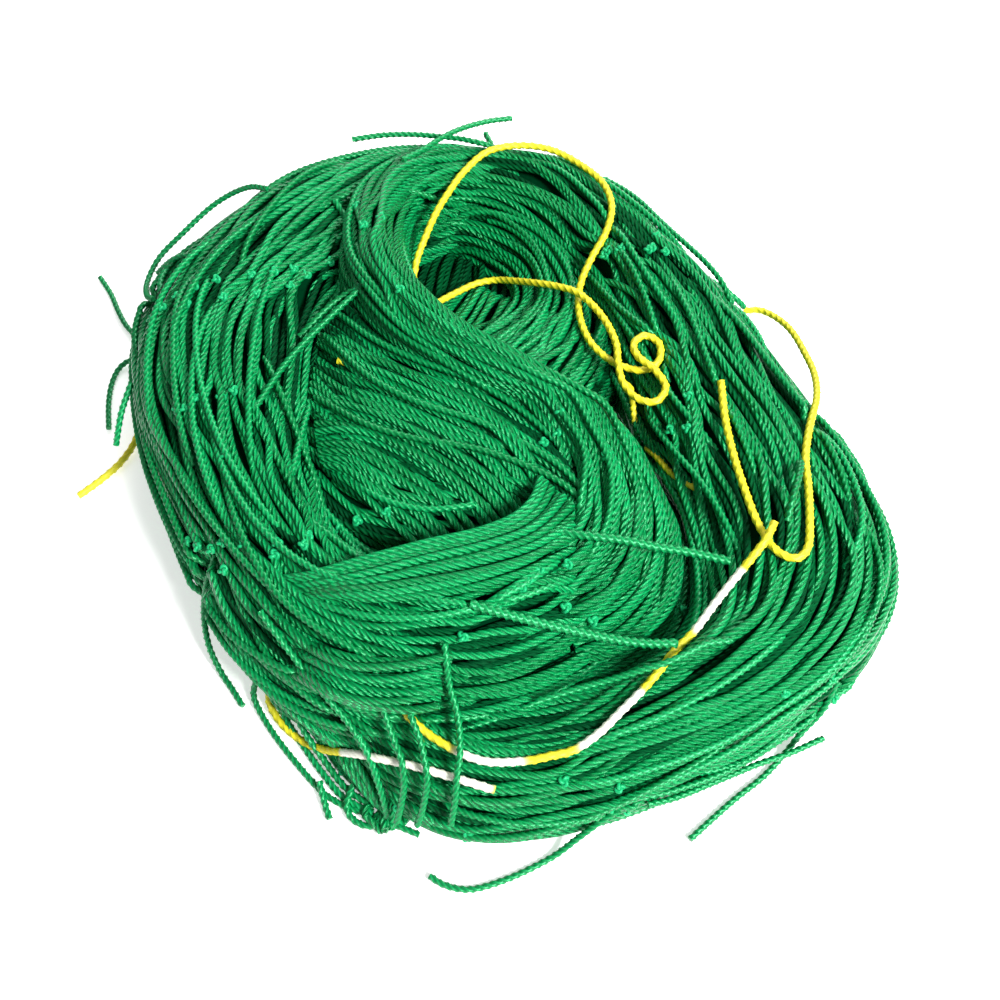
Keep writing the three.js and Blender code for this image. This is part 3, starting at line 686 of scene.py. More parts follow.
# %% The lays' sections
# each row: outer edge's x and y, inner edge's x and y, outer height, inner height
LAYS = {
    # The left flank and the sweep across the front
    "LEFT_AND_FRONT": [
        [10, 81, 1, 65, 33, 31], [-3, 84, -6, 66, 33, 32], [-18, 84, -13, 64, 33, 34],
        [-37, 81, -20, 59, 34, 36], [-57, 74, -27, 51, 34, 37], [-73, 61, -32, 43, 33, 38],
        [-85, 47, -37, 33, 31, 38], [-90, 31, -40, 18, 30, 38], [-88, 14, -42, 3, 29, 37],
        [-82, -5, -42, -9, 28, 36], [-74, -22, -39, -21, 27, 36], [-66, -37, -33, -31, 26, 37],
        [-57, -51, -26, -38, 24, 39], [-47, -61, -17, -42, 22, 41], [-36, -68, -8, -43, 20, 42],
        [-22, -72, 0, -41, 19, 42], [-6, -71, 6, -38, 19, 41], [10, -66, 10, -34, 20, 40],
        [26, -58, 12, -28, 20, 38],
    ],
    # The turn at the right of the sweep, and the diagonal lay that climbs back over the top
    "HOOK_AND_DIAGONAL": [
        [13, -64, 4, -36, 18, 38], [27, -58, 10, -31, 19, 38], [37, -49, 12, -24, 20, 38],
        [41, -38, 12, -17, 22, 38], [41, -26, 10, -9, 25, 38], [37, -15, 5, -3, 29, 39],
        [31, -5, 0, 2, 34, 40], [22, 0, -8, 4, 39, 40], [12, 5, -17, 9, 43, 40],
        [1, 11, -27, 16, 45, 40], [-9, 19, -34, 26, 46, 40], [-18.5, 30, -39, 39, 45, 40],
        [-22.5, 44, -39, 54, 43, 39], [-21.5, 58, -35, 67, 40, 37], [-15, 70, -25, 78, 37, 36],
        [-5, 75, -12, 84, 33, 32], [3, 77, 0, 84, 29, 29],
    ],
    # The arch at the back, the right flank and the low front edge
    "ARCH_AND_RIGHT": [
        [-36, 79, -22, 60, 30, 30], [-18, 84, -14, 64, 32, 32], [-3, 84, -6, 66, 34, 31],
        [14, 79, 4, 62, 36, 31], [28, 71, 13, 53, 35, 31], [41, 58, 21, 40, 34, 31],
        [51, 44, 26, 28, 33, 31], [60, 31, 30, 16, 32, 31], [69, 16, 34, 3, 30, 31],
        [77, 2, 38, -8, 29, 31], [83, -12, 42, -19, 28, 31], [87, -26, 43, -31, 27, 30],
        [86, -39, 42, -42, 25, 30], [80, -51, 39, -49, 23, 29], [71, -60, 33, -54, 21, 28],
        [60, -67, 26, -58, 19, 26], [48, -74, 18, -60, 17, 24], [33, -80, 10, -62, 15, 22],
        [19, -85, 2, -62, 13, 20], [4, -88, -5, -61, 12, 20], [-10, -87, -13, -60, 12, 20],
        [-21, -82, -20, -58, 12, 19], [-30, -75, -27, -57, 11, 17], [-35, -69, -33, -57, 9, 12],
    ],
    # The hollow between the left flank and the diagonal
    "POCKET": [
        [-40, 48, -46, -24, 36, 28], [-31, 32, -30, -36, 39, 25], [-20, 22, -17, -40, 40, 23],
        [-7, 14, -4, -40, 40, 22], [5, 5, 6, -40, 38, 23], [14, -6, 14, -38, 36, 27],
        [20, -20, 19, -34, 34, 30],
    ],
    # The tight turns round the eye at the back, down to the lays below
    "EYE_WALL": [
        [-24, 68, -17, 62, 26, 12], [-9, 70, -9, 60, 30, 13], [6, 65, -4, 55, 30, 13],
        [18, 54, -1, 50, 29, 13], [27, 36, -2, 44, 28, 15], [28, 21, -7, 38, 27, 18],
        [23, 8, -13, 33, 28, 22], [15, 0, -18, 28, 29, 26],
    ],
    # The lowest lays, which close the bottom of the eye and of the hollow
    "CORE": [
        [-46, -52, 18, -54, 10, 10], [-58, -28, 24, -34, 11, 11], [-62, 0, 24, -6, 12, 12],
        [-60, 30, 24, 20, 12, 12], [-46, 58, 22, 48, 12, 12], [-24, 72, 8, 68, 11, 11],
    ],
    # The twines that come out under the sweep at the front left and lie down to the floor
    "FOOT": [
        [-47, -54, -35, -52, 17, 18], [-44, -59.5, -33.4, -59, 14, 15],
        [-41, -65.3, -31.8, -64.8, 10, 12], [-35.6, -71.5, -26.8, -69.8, 7, 9],
        [-30.4, -77.2, -23.8, -74.7, 4.6, 7], [-26.5, -82.3, -21.5, -80.6, 3, 5],
        [-23.6, -86, -20, -84.4, 2.6, 3.4],
    ],
}
FULL_LAYS = [name for name in LAYS if name != "FOOT"]

# %% Knots of the net
# how far along its lay each knot lies, and its place across the top in half turns
KNOTS = {
    "LEFT_AND_FRONT": [
        [0.308, 0.71], [0.35, 0.64], [0.367, 0.56], [0.38, 0.5], [0.384, 0.43], [0.388, 0.31],
        [0.473, 0.51], [0.481, 0.43], [0.523, 0.5], [0.586, 0.21], [0.62, 0.33], [0.624, 0.62],
        [0.633, 0.5], [0.806, 0.6], [0.873, 0.55], [0.911, 0.61], [0.966, 0.49], [0.97, 0.57],
        [0.987, 0.42],
    ],
    "HOOK_AND_DIAGONAL": [
        [0.257, 0.52], [0.279, 0.71], [0.318, 0.6], [0.62, 0.51], [0.648, 0.71], [0.721, 0.53],
        [0.749, 0.44], [0.754, 0.61],
    ],
    "ARCH_AND_RIGHT": [
        [0.214, 0.63], [0.221, 0.56], [0.229, 0.4], [0.239, 0.47], [0.354, 0.64], [0.375, 0.78],
        [0.382, 0.71], [0.604, 0.21], [0.639, 0.31], [0.764, 0.25], [0.771, 0.11], [0.793, 0.37],
    ],
    "POCKET": [
        [0.107, 0.77], [0.147, 0.71], [0.227, 0.65], [0.733, 0.41],
    ],
}
# the mesh was drawn together into bundles, so more of its knots lie in rows across them:
# the lay, the place of the first knot and of the last, and how many there are
KNOT_ROWS = [
    ["LEFT_AND_FRONT", [0.33, 0.67], [0.392, 0.29], 9],
    ["LEFT_AND_FRONT", [0.465, 0.54], [0.485, 0.4], 3],
    ["LEFT_AND_FRONT", [0.59, 0.26], [0.632, 0.58], 6],
    ["LEFT_AND_FRONT", [0.85, 0.5], [0.93, 0.64], 4],
    ["ARCH_AND_RIGHT", [0.215, 0.6], [0.243, 0.43], 4],
]

# %% [markdown]
# ## A lay as a grid
#
# From the table comes a grid of sections, one every few millimetres. Across each section the places are
# measured along its outline, so that twines side by side keep an even distance on the sides as on the top.
# The sections are the CAD model's own: a squared-off ellipse with a slightly raised middle.

# %% Sections, and places on them
BELLY = 0.42
SINK = 1.6
SQUARE = 0.72
CROWN = 3
REACH_UNDER = 0.14
SPREAD = 0.16
SECTION_STEP = 2.5
FEWEST_SECTIONS = 4
MIDDLE_POINTS = 500
OUTLINE_POINTS = 160


def column_values(table, places):
    # the table's smooth curve through its rows, at places from 0 at the first row to 1 at the last
    rows = np.array(table, float)
    rows = np.vstack([rows[:1], rows, rows[-1:]])
    place = np.clip(places, 0, 1) * (len(table) - 1)
    first = np.minimum(place.astype(int), len(table) - 2)
    return curve_between(*(rows[first + k] for k in range(4)), (place - first)[:, None])


def section_points(section, turns, proud):
    # points round one section, and the way out of the hank at each
    out_x, out_y, in_x, in_y, out_top, in_top = section
    side, rise = np.cos(turns), np.sin(turns)
    across = 0.5 - 0.5 * np.sign(side) * np.abs(side) ** SQUARE
    top = out_top + (in_top - out_top) * across + CROWN * 4 * across * (1 - across)
    middle = BELLY * top
    reach = np.where(rise > 0, top - middle, middle + SINK)
    height = middle + np.sign(rise) * reach * np.abs(rise) ** SQUARE
    wide = math.hypot(in_x - out_x, in_y - out_y)
    away = np.stack([-side * (in_x - out_x) / wide, -side * (in_y - out_y) / wide, rise], axis=1)
    base = np.stack([out_x + (in_x - out_x) * across, out_y + (in_y - out_y) * across, height], axis=1)
    return base + away * np.reshape(proud, (-1, 1)), away


def turn_at(share):
    # a share of the way round, from under the outer side to under the inner side, as a turn
    even = -REACH_UNDER + (1 + 2 * REACH_UNDER) * share
    return (even + SPREAD * np.sin(2 * math.pi * even)) * math.pi


def even_sections(table):
    # sections an even distance apart, each with its table of outline length against share
    fine = np.linspace(0, 1, MIDDLE_POINTS)
    rows = column_values(table, fine)
    reached = line_lengths((rows[:, 0:2] + rows[:, 2:4]) / 2)
    count = max(FEWEST_SECTIONS, round(reached[-1] / SECTION_STEP))
    along = np.linspace(0, reached[-1], count + 1)
    places = np.interp(along, reached, fine)
    shares = np.linspace(0, 1, OUTLINE_POINTS)
    grid = []
    for section in column_values(table, places):
        outline, _ = section_points(section, turn_at(shares), np.zeros(OUTLINE_POINTS))
        grid.append({"section": section, "shares": shares, "outline": line_lengths(outline)})
    return grid, places, along


lay_grids = {name: even_sections(table) for name, table in LAYS.items()}
for name, (grid, _, reached) in lay_grids.items():
    print(f"{name}: {reached[-1]:.0f} mm long, outline {grid[0]['outline'][-1]:.0f} mm")

# %% [markdown]
# ## How the twines wander
#
# Twines in a gathered net never lie quite parallel. They keep together in bunches, the bunches drift
# sideways over some centimetres, and each twine drifts a little within its bunch. Smooth noise made of a
# few waves with fixed random phases does that. At a knot two twines of the net are tied, so the twines
# next to it are drawn towards it.

# %% Where the knots draw the twines together
SIDE_KNOTS = {"LEFT_AND_FRONT": 22, "HOOK_AND_DIAGONAL": 4, "ARCH_AND_RIGHT": 26, "FOOT": 2}
SIDE_KNOTS_ACROSS = (0.03, 0.2)
SIDE_SEED = 11


def knot_places(name):
    # first the knots on the outer side of a lay, which the photograph doesn't show, then the others
    grid, alongs, reached = lay_grids[name]
    places = []
    side = np.random.default_rng(SIDE_SEED)
    for _ in range(SIDE_KNOTS.get(name, 0)):
        places.append((side.uniform(0, reached[-1]), side.uniform(*SIDE_KNOTS_ACROSS)))
    knots = list(KNOTS.get(name, []))
    for lay, first, last, count in KNOT_ROWS:
        if lay == name:
            knots += np.linspace(first, last, count).tolist()
    for along, half_turns in knots:
        ring = int(np.argmin(np.abs(alongs - along)))
        shares, outline = grid[ring]["shares"], grid[ring]["outline"]
        share = float(np.interp(half_turns * math.pi, turn_at(shares), shares))
        places.append((reached[ring], float(np.interp(share, shares, outline)) / outline[-1]))
    return places


# %% Wandering lines on a lay
SEED = 7
BUNCHES = 13
RIDGE = 1.9
UNTIDY = 0.42
BUNCH_UNTIDY = 0.3
# how many waves make the noise, and their shortest and longest lengths for each use
WAVES = 3
BUNCH_SWAY_WAVES = (70, 150)
TWINE_DRIFT_WAVES = (28, 90)
TWINE_RISE_WAVES = (30, 80)
BUNCH_RISE_WAVES = (50, 120)
KNOT_PULL = 0.85
KNOT_REACH_ALONG = 7.0
KNOT_REACH_ACROSS = 3.2
GOES_UNDER = 0.3
UNDER_DEPTH = 2.4
UNDER_HALVES = (14, 45)
UNDER_SLOPE = 1.6
END_DIVE = 3.5
END_REACH = 16.0
chance = np.random.default_rng(SEED)


def smooth_noise(rows, reached, waves):
    # rows of smooth noise between about -1 and 1
    total = np.zeros((rows, len(reached)))
    for _ in range(WAVES):
        wave = chance.uniform(*waves, (rows, 1))
        phase = chance.uniform(0, 2 * math.pi, (rows, 1))
        total += np.sin(2 * math.pi * reached[None] / wave + phase)
    return total / math.sqrt(WAVES * 2)


def wander(name, starts, bunch_of, sway, drift):
    # where across the outline each twine lies at each section, as a share of the outline
    grid, _, reached = lay_grids[name]
    around = np.array([ring["outline"][-1] for ring in grid])
    bunches = smooth_noise(int(bunch_of.max()) + 1, reached, BUNCH_SWAY_WAVES) * sway
    single = smooth_noise(len(starts), reached, TWINE_DRIFT_WAVES) * drift
    across = starts[:, None] + (bunches[bunch_of] + single) / around[None]
    for knot_reached, knot_across in knot_places(name):
        near = np.exp(-((reached - knot_reached) / KNOT_REACH_ALONG) ** 2)[None]
        off = (knot_across - across) * around[None]
        close = np.exp(-(off / KNOT_REACH_ACROSS) ** 2)
        across = across + off * near * close * KNOT_PULL / around[None]
    return np.clip(across, 0, 1)


def gone_under(count, reached):
    # some twines go down among the others for a few centimetres and come up again
    middle = chance.uniform(0, reached[-1], (count, 1))
    half = chance.uniform(*UNDER_HALVES, (count, 1))
    goes = chance.uniform(0, 1, (count, 1)) < GOES_UNDER
    return goes * UNDER_DEPTH * np.clip(UNDER_SLOPE * (1 - np.abs(reached[None] - middle) / half), 0, 1)


def lay_lines(name, spacing, lift, sway, drift, uneven):
    # the lines of one layer of twines over a lay, and the way out of the hank all along them
    grid, _, reached = lay_grids[name]
    widest = max(ring["outline"][-1] for ring in grid)
    count = int(widest / spacing)
    starts = (np.arange(count) + 0.5 + chance.uniform(-UNTIDY, UNTIDY, count)) / count
    borders = (np.arange(1, BUNCHES) + chance.uniform(-BUNCH_UNTIDY, BUNCH_UNTIDY, BUNCHES - 1)) / BUNCHES
    bunch_of = np.searchsorted(borders, starts)
    borders = np.concatenate([[0], borders, [1]])
    in_bunch = (starts - borders[bunch_of]) / (borders[bunch_of + 1] - borders[bunch_of])
    across = wander(name, starts, bunch_of, sway, drift)
    ridge = RIDGE * (0.5 - (2 * in_bunch - 1) ** 2)
    rough = smooth_noise(count, reached, TWINE_RISE_WAVES) * uneven
    rough += (smooth_noise(BUNCHES, reached, BUNCH_RISE_WAVES) * uneven)[bunch_of]
    edge = np.minimum(reached, reached[-1] - reached)
    dive = END_DIVE * np.clip(1 - edge / END_REACH, 0, 1) ** 2
    proud = lift + ridge[:, None] + rough - dive[None] - gone_under(count, reached)
    lines = np.zeros((count, len(grid), 3))
    ways = np.zeros((count, len(grid), 3))
    for k, ring in enumerate(grid):
        share = np.interp(across[:, k] * ring["outline"][-1], ring["outline"], ring["shares"])
        lines[:, k], ways[:, k] = section_points(ring["section"], turn_at(share), proud[:, k])
    return lines, ways


# %% [markdown]
# ## Twines under the cords, and twines out of sight
#
# Where a loose cord lies on the hank, the twines under it are pressed down by it. Twines that run deep
# inside another lay can't be seen, so they are cut away there, a little below the surface. The CAD solid
# of the hank tells how deep a point is. No twine goes below the floor.

# %% Pressing and cutting
DEEP = 3.4
SHORTEST = 5
LOWEST = 0.9
PRESS_SEARCH = 3.0
PRESS_DEEPEST = 5.0
PRESS_CLEAR = 0.1
PRESS_BESIDE = 0.6


def surface_tree():
    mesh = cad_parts["net_hank"].data
    corners = [v.co / MM for v in mesh.vertices]
    mesh.calc_loop_triangles()
    return BVHTree.FromPolygons(corners, [tuple(t.vertices) for t in mesh.loop_triangles])


def cord_tree():
    points = []
    for name, line in cord_lines.items():
        radius = (BORDER if name.startswith("border") else TWINE) / 2 / MM
        points += [(point, radius) for point in line]
    tree = KDTree(len(points))
    for k, (point, _) in enumerate(points):
        tree.insert(point, k)
    tree.balance()
    return tree, points


hank_surface = surface_tree()
cords_near, cord_points = cord_tree()


def depth_of(point):
    near, normal, _, _ = hank_surface.find_nearest(Vector(point))
    return (near - Vector(point)).dot(normal)


def above_floor(path):
    return np.column_stack([path[:, :2], np.maximum(path[:, 2], LOWEST)])


def press_down(point, way):
    # moves a twine's point below any cord that lies over it
    lowest = 0.0
    for near, k, _ in cords_near.find_range(Vector(point), PRESS_SEARCH):
        room = cord_points[k][1] + TWINE / 2 / MM + PRESS_CLEAR
        offset = np.array(point) - np.array(near)
        height = float(offset @ way)
        sideways = math.sqrt(max(0.0, float(offset @ offset) - height ** 2))
        if sideways < room + PRESS_BESIDE:
            need = -math.sqrt(max(0.0, room ** 2 - min(sideways, room) ** 2)) - height
            lowest = min(lowest, need)
    return point + way * lowest if lowest > -PRESS_DEEPEST else point


def visible_parts(lines, ways):
    # the stretches of each line that lie near the surface
    parts = []
    for line, way in zip(lines, ways):
        pressed = above_floor(np.array([press_down(p, w) for p, w in zip(line, way)]))
        shown = [depth_of(p) < DEEP for p in pressed]
        start = None
        for k, near in enumerate(shown + [False]):
            if near and start is None:
                start = k
            if not near and start is not None:
                if k - start >= SHORTEST:
                    parts.append(pressed[start:k])
                start = None
    return parts


# %% [markdown]
# ## The twines of the hank
#
# Two layers make the hank look deep: a looser layer on top, and an even layer below it, seen through the
# gaps. The layer below is painted a darker, duller green than the twine has, as painted shade. Only the
# diagonal, which lies highest, is as green below, and the core, at the bottom of the hollows, has the same
# painted shade on top as well.

# %% Twines, lay by lay
# spacing, lift, sway and drift of each lay's top layer, in millimetres
TOP_LAYERS = {
    "LEFT_AND_FRONT": [1.8, -0.6, 3.0, 2.6],
    "HOOK_AND_DIAGONAL": [1.7, -0.6, 1.8, 1.6],
    "ARCH_AND_RIGHT": [1.7, -0.6, 2.6, 2.2],
    "POCKET": [1.8, -1.5, 1.6, 1.5],
    "EYE_WALL": [1.8, -0.6, 2.0, 1.8],
    "CORE": [2.0, -0.6, 1.8, 1.6],
    "FOOT": [1.5, -0.2, 0.8, 0.9],
}
UNEVEN = 0.6
# the same for every layer below, and its unevenness
UNDER_LAYER = [1.8, -1.7, 1.2, 1.4, 0.3]
# lays whose lower layer gets the painted shade
SHADED_BELOW = ["LEFT_AND_FRONT", "ARCH_AND_RIGHT", "POCKET", "EYE_WALL", "CORE"]
# a little thicker than the real twine, so that neighbours close up
TWINE_SHOWN = 1.7 * MM
UNTWISTED = 1000.0
SMOOTH_STEP = 2.4 * MM
TOP_CORNERS = 8
UNDER_CORNERS = 5


def make_twines(name, paths, corners, material, twisted=False):
    piece = lines_object(name, [above_floor(path) * MM for path in paths], {
        "phase": chance.uniform(0, 2 * math.pi, len(paths)),
        "shade": chance.uniform(0, 1, len(paths)),
    })
    apply_tree(piece, twine_tree, {
        "Diameter": TWINE_SHOWN,
        "Twist length": TWINE_TWIST if twisted else UNTWISTED,
        "Step": FINE_STEP if twisted else SMOOTH_STEP,
        "Groove": GROOVE if twisted else 0.0,
        "Corners": corners,
        "Material": material,
    })
    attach(piece, "root")
    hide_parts("net_hank")
    length = sum(line_lengths(path)[-1] for path in paths) / 1000
    print(f"{name}: {len(paths)} twines, {length:.1f} m, {triangles(piece)} triangles")


for name, layer in TOP_LAYERS.items():
    over = visible_parts(*lay_lines(name, *layer, UNEVEN))
    # the core's top layer also gets the painted shade
    make_twines("twines_" + name.lower(), over, TOP_CORNERS, shaded_twine if name == "CORE" else green_twine)
for name in FULL_LAYS:
    under = visible_parts(*lay_lines(name, *UNDER_LAYER))
    material = shaded_twine if name in SHADED_BELOW else green_twine
    make_twines("twines_below_" + name.lower(), under, UNDER_CORNERS, material)

# %% [markdown]
# ## Fans of twines
#
# In the hollow, beside the eye and at two edges of the front sweep the twines don't run along a lay. They
# come out under one lay, spread a little and go in under the next. A few guide lines show the way, and
# the twines between two guides change evenly from one to the other.

# %% Fans between guide lines
FAN_GUIDES = {
    "sweep_lip": [
        [[-43.4, -52, 26], [-33.3, -58.4, 31.2], [-27.1, -60.2, 31.4], [-21.1, -60.6, 32],
         [-15, -60.6, 33.4], [-9.4, -59.5, 35.4]],
        [[-44.4, -55, 24.4], [-34.6, -61.8, 28.4], [-28.5, -63.8, 28.2], [-22.4, -64.6, 28.6],
         [-16.7, -64.4, 29.8], [-11.5, -62.9, 31.2]],
        [[-44.6, -58.6, 23], [-35.4, -65.2, 26.2], [-28.9, -67.6, 25.8], [-22.4, -68.7, 26],
         [-17.1, -69.2, 26.8], [-12.3, -68.1, 29]],
    ],
    "hollow": [
        [[-37, 19, 36], [-29.8, 12.9, 36.4], [-16.1, 4.1, 37.4], [-5.5, -2.1, 37], [4, -11, 36.2],
         [11, -22, 33]],
        [[-41, 8, 34], [-34, 4, 35.6], [-26.1, 1, 36.4], [-14.8, -4.5, 36], [-2, -11.3, 34.6],
         [9, -25, 31]],
        [[-42, 1, 33], [-35.6, -1.3, 33.8], [-25.8, -5.4, 34.9], [-14.7, -11.1, 34.3], [-3, -19.7, 32],
         [7, -30, 28]],
        [[-41, -6, 32.6], [-33.5, -7.5, 33.6], [-25.8, -10, 33], [-17, -15.5, 32.2], [-8, -22, 30],
         [2, -33, 26]],
        [[-40, -11, 31.6], [-32.2, -12, 32], [-26.7, -15.1, 31.5], [-20.3, -19.6, 29.8], [-13, -25, 28],
         [-5, -35, 25]],
        [[-38, -14, 30.6], [-33.5, -17, 30.4], [-29.9, -20.6, 29.6], [-25.4, -24.8, 28], [-18, -31, 26],
         [-12, -37, 25]],
    ],
    "sweep_edge": [
        [[-49.1, -42.2, 33.4], [-39.3, -43.2, 36.4], [-27.4, -40, 37.5], [-14.2, -36, 37.6],
         [-3.4, -33, 37], [5.6, -27.6, 36.6], [8.8, -19.4, 36.8]],
        [[-49.4, -44.6, 31.4], [-32, -46.2, 37.8], [-17.6, -42.6, 38.6], [-3.3, -38.9, 38.5],
         [7.8, -33.8, 37.6], [15.3, -25.3, 36.4]],
        [[-45, -46.8, 31.4], [-31.2, -48.6, 37], [-23, -49.6, 38.8], [-15.2, -48.8, 38.9],
         [-5.2, -47.2, 38.8], [6, -43, 38.2], [15.3, -36.2, 37]],
    ],
    "beside_eye": [
        [[-16.5, 37, 18], [-12.5, 45, 15.5], [-8.5, 52, 15]],
        [[-12, 32, 20], [-8.1, 42, 17], [-4.3, 48.2, 19.5]],
        [[-4.5, 25.5, 22], [0, 34, 20], [3.3, 44, 19.5]],
        [[2.5, 20, 25], [6.6, 29.5, 25], [9.4, 37.9, 23.6]],
        [[9.5, 14.5, 28], [13.9, 23.2, 27.6], [17, 33, 26.5]],
        [[16, 9.5, 27], [20.6, 19.6, 25.2], [24, 28, 24.5]],
    ],
}
FAN_COUNTS = {"sweep_lip": 12, "sweep_edge": 12, "hollow": 25, "beside_eye": 26}
FAN_STEP = 0.5
FAN_POINTS = 12
FAN_UNTIDY = 0.06
FAN_BOW = 1.4
FAN_LIFT = 0.3
FAN_UNEVEN = 0.9
FAN_DIVE = 3.0
SHORT_OF_LAST = 1.001


def fan_lines(guides, count):
    curves = []
    for guide in guides:
        line = smooth_line(guide, FAN_STEP)
        curves.append(line[np.linspace(0, len(line) - 1, FAN_POINTS).round().astype(int)])
    share = np.linspace(0, 1, FAN_POINTS)
    lines = []
    for place in np.linspace(0, len(guides) - 1, count):
        place += chance.uniform(-FAN_UNTIDY, FAN_UNTIDY)
        place = min(max(place, 0), len(guides) - SHORT_OF_LAST)
        first = int(place)
        line = curves[first] + (curves[first + 1] - curves[first]) * (place - first)
        line[:, :2] += np.sin(math.pi * share)[:, None] * chance.uniform(-FAN_BOW, FAN_BOW, 2)
        rise = FAN_LIFT + chance.uniform(-FAN_UNEVEN, FAN_UNEVEN)
        line[:, 2] += rise - FAN_DIVE * (2 * share - 1) ** 4
        lines.append(line)
    return lines


for name, guides in FAN_GUIDES.items():
    make_twines("twines_" + name, fan_lines(guides, FAN_COUNTS[name]), TOP_CORNERS, green_twine)

# %% [markdown]
# ## Short twines and buried cord
#
# A few single twines can be told apart in the photograph: stubs at the edge, a small loop at the front
# left, a fork where two twines leave a knot, and one that ties the yellow cord down. The yellow border
# cord also shows in a few places inside the hank. All of them are routed one by one, in millimetres.

# %% Short twines and yellow glimpses
SHORT_TWINES = {
    "left_arc": [[-76.6, 49, 28.6], [-80.6, 49.4, 27.5], [-83.8, 49.7, 25], [-87.4, 49.9, 21]],
    "left_stub": [[-88, 14.4, 22.6], [-90, 8.2, 20], [-91.2, 4.5, 17], [-92.2, 2.2, 14]],
    "right_stub": [[51, 45.4, 25], [55.5, 42.4, 24], [58.9, 40.8, 22], [61.7, 40.4, 19]],
    "back_stub": [[-0.4, 78, 32], [-2.2, 83, 33], [-3.8, 86.8, 33.4]],
    "back_root": [[-6, 78.8, 37.8], [-2.4, 78.2, 37], [1.4, 76.4, 35.4], [5, 73.6, 33]],
    "foot_stub": [[-38.8, -76, 2.6], [-37.3, -80.8, 1.2], [-36.1, -83.7, 0.9]],
    "foot_loop": [
        [-31, -76.4, 4], [-32.6, -80.8, 2], [-31.4, -83.6, 1.2], [-27.9, -85.2, 1], [-24.1, -84.1, 1.6],
        [-22.6, -81, 3.4],
    ],
    "foot_outer": [
        [-50, -57, 3], [-47, -62.4, 1.6], [-42.6, -68.4, 1], [-38.4, -73.8, 1], [-33.6, -79, 1],
        [-27, -82.6, 1.6],
    ],
    "foot_inner": [
        [-29.2, -71, 18.4], [-26.9, -74.8, 15.6], [-25.3, -78.7, 11.4], [-24.2, -81.9, 7.4],
        [-23.8, -84, 4],
    ],
    "foot_second": [
        [-45.6, -60, 8], [-42.4, -66, 5.4], [-38, -71.6, 3], [-33, -77.4, 2], [-27.6, -81, 2.4],
    ],
    "over_left": [[-40.3, 56.7, 39.6], [-36.6, 50.2, 38], [-32.1, 34.6, 43], [-30, 27.5, 40.6]],
    "fork_left": [[-31.5, 29.9, 40], [-36.8, 28, 37.8], [-41.8, 23, 37], [-46.4, 18.4, 35]],
    "fork_down": [[-31.5, 29.9, 40], [-39.4, 21.4, 38], [-48, 9.9, 37], [-54.2, -2.7, 36.4]],
    "over_cord": [
        [65.6, -15, 33.6], [64.4, -18.6, 35.6], [63, -22.4, 36.6], [61.6, -26.2, 36.4], [60.4, -30, 34.6],
    ],
}
BURIED_CORD = {
    "hollow": [[-37, 11.8, 34.7], [-33, 10, 35.4], [-28.4, 7.8, 35.7], [-23.4, 5, 34.2]],
    "below_loop": [[28.4, 9, 30], [30.6, 10, 26], [31.4, 8.4, 22], [32, 5, 19]],
    "slit": [[34.6, -1, 17.6], [36.2, -4.6, 20], [38.6, -9, 20.8], [41, -12.6, 20.4], [41.8, -16.4, 17]],
    "slit_far": [[41.4, -13.2, 22], [43, -15, 23.6], [45.6, -15.8, 23.2]],
}

short_lines = [smooth_line(route, CORD_STEP) for route in SHORT_TWINES.values()]
make_twines("twines_short", short_lines, CORNERS, loose_twine, twisted=True)
buried_lines = [smooth_line(route, CORD_STEP) for route in BURIED_CORD.values()]
make_twines("border_cord_buried", buried_lines, CORNERS, yellow_cord, twisted=True)

# %% [markdown]
# ## Twines that cross the others
#
# Here and there a twine leaves its neighbours, runs over them at a slant and goes under again further on.
# These lie on top, so they get the twist as real geometry.

# %% Crossing twines
# how many on each lay, and how far across it they may slant, in millimetres
CROSSINGS = {
    "LEFT_AND_FRONT": [46, 16],
    "HOOK_AND_DIAGONAL": [14, 7],
    "ARCH_AND_RIGHT": [34, 13],
    "POCKET": [9, 9],
    "EYE_WALL": [8, 8],
}
CROSSING_LENGTHS = (35, 80)
CROSSING_CENTRES = (0.1, 0.9)
CROSSING_BOW = 3
CROSSING_LIFT = 1.65
CROSSING_DIVE = 4


def crossing_lines(name, count, slant):
    grid, _, reached = lay_grids[name]
    lines, ways = [], []
    for _ in range(count):
        length = chance.uniform(*CROSSING_LENGTHS)
        start = chance.uniform(0, max(1, reached[-1] - length))
        inside = np.flatnonzero((reached >= start) & (reached <= start + length))
        share = (reached[inside] - start) / length
        centre = chance.uniform(*CROSSING_CENTRES)
        drift = chance.uniform(-slant, slant)
        bow = chance.uniform(-CROSSING_BOW, CROSSING_BOW)
        line, way = [], []
        for k, part in zip(inside, share):
            ring = grid[k]
            place = centre * ring["outline"][-1] + drift * (part - 0.5) + bow * math.sin(math.pi * part)
            turn = turn_at(np.array([np.interp(place, ring["outline"], ring["shares"])]))
            proud = CROSSING_LIFT - CROSSING_DIVE * (2 * part - 1) ** 4
            point, out = section_points(ring["section"], turn, np.array([proud]))
            line.append(point[0])
            way.append(out[0])
        lines.append(np.array(line))
        ways.append(np.array(way))
    return lines, ways


for name, (count, slant) in CROSSINGS.items():
    parts = visible_parts(*crossing_lines(name, count, slant))
    make_twines("twines_crossing_" + name.lower(), parts, CORNERS, loose_twine, twisted=True)

# %% [markdown]
# ## Netting knots
#
# Each mesh of the net is tied to the next with a small knot: one twine makes a loop round the other. Where
# the gathered net lies on the surface, the knots show as bright lumps, often a few side by side. One knot
# is a short tube that winds through itself, and Geometry Nodes puts a copy on each knot's place, flat on
# the hank and with a turn of its own.

# %% The shape of one knot
KNOT_SIZE = 0.32
KNOT_RISE = 1.3
KNOT_TUBE = 0.42
KNOT_RINGS = 24
KNOT_CORNERS = 5


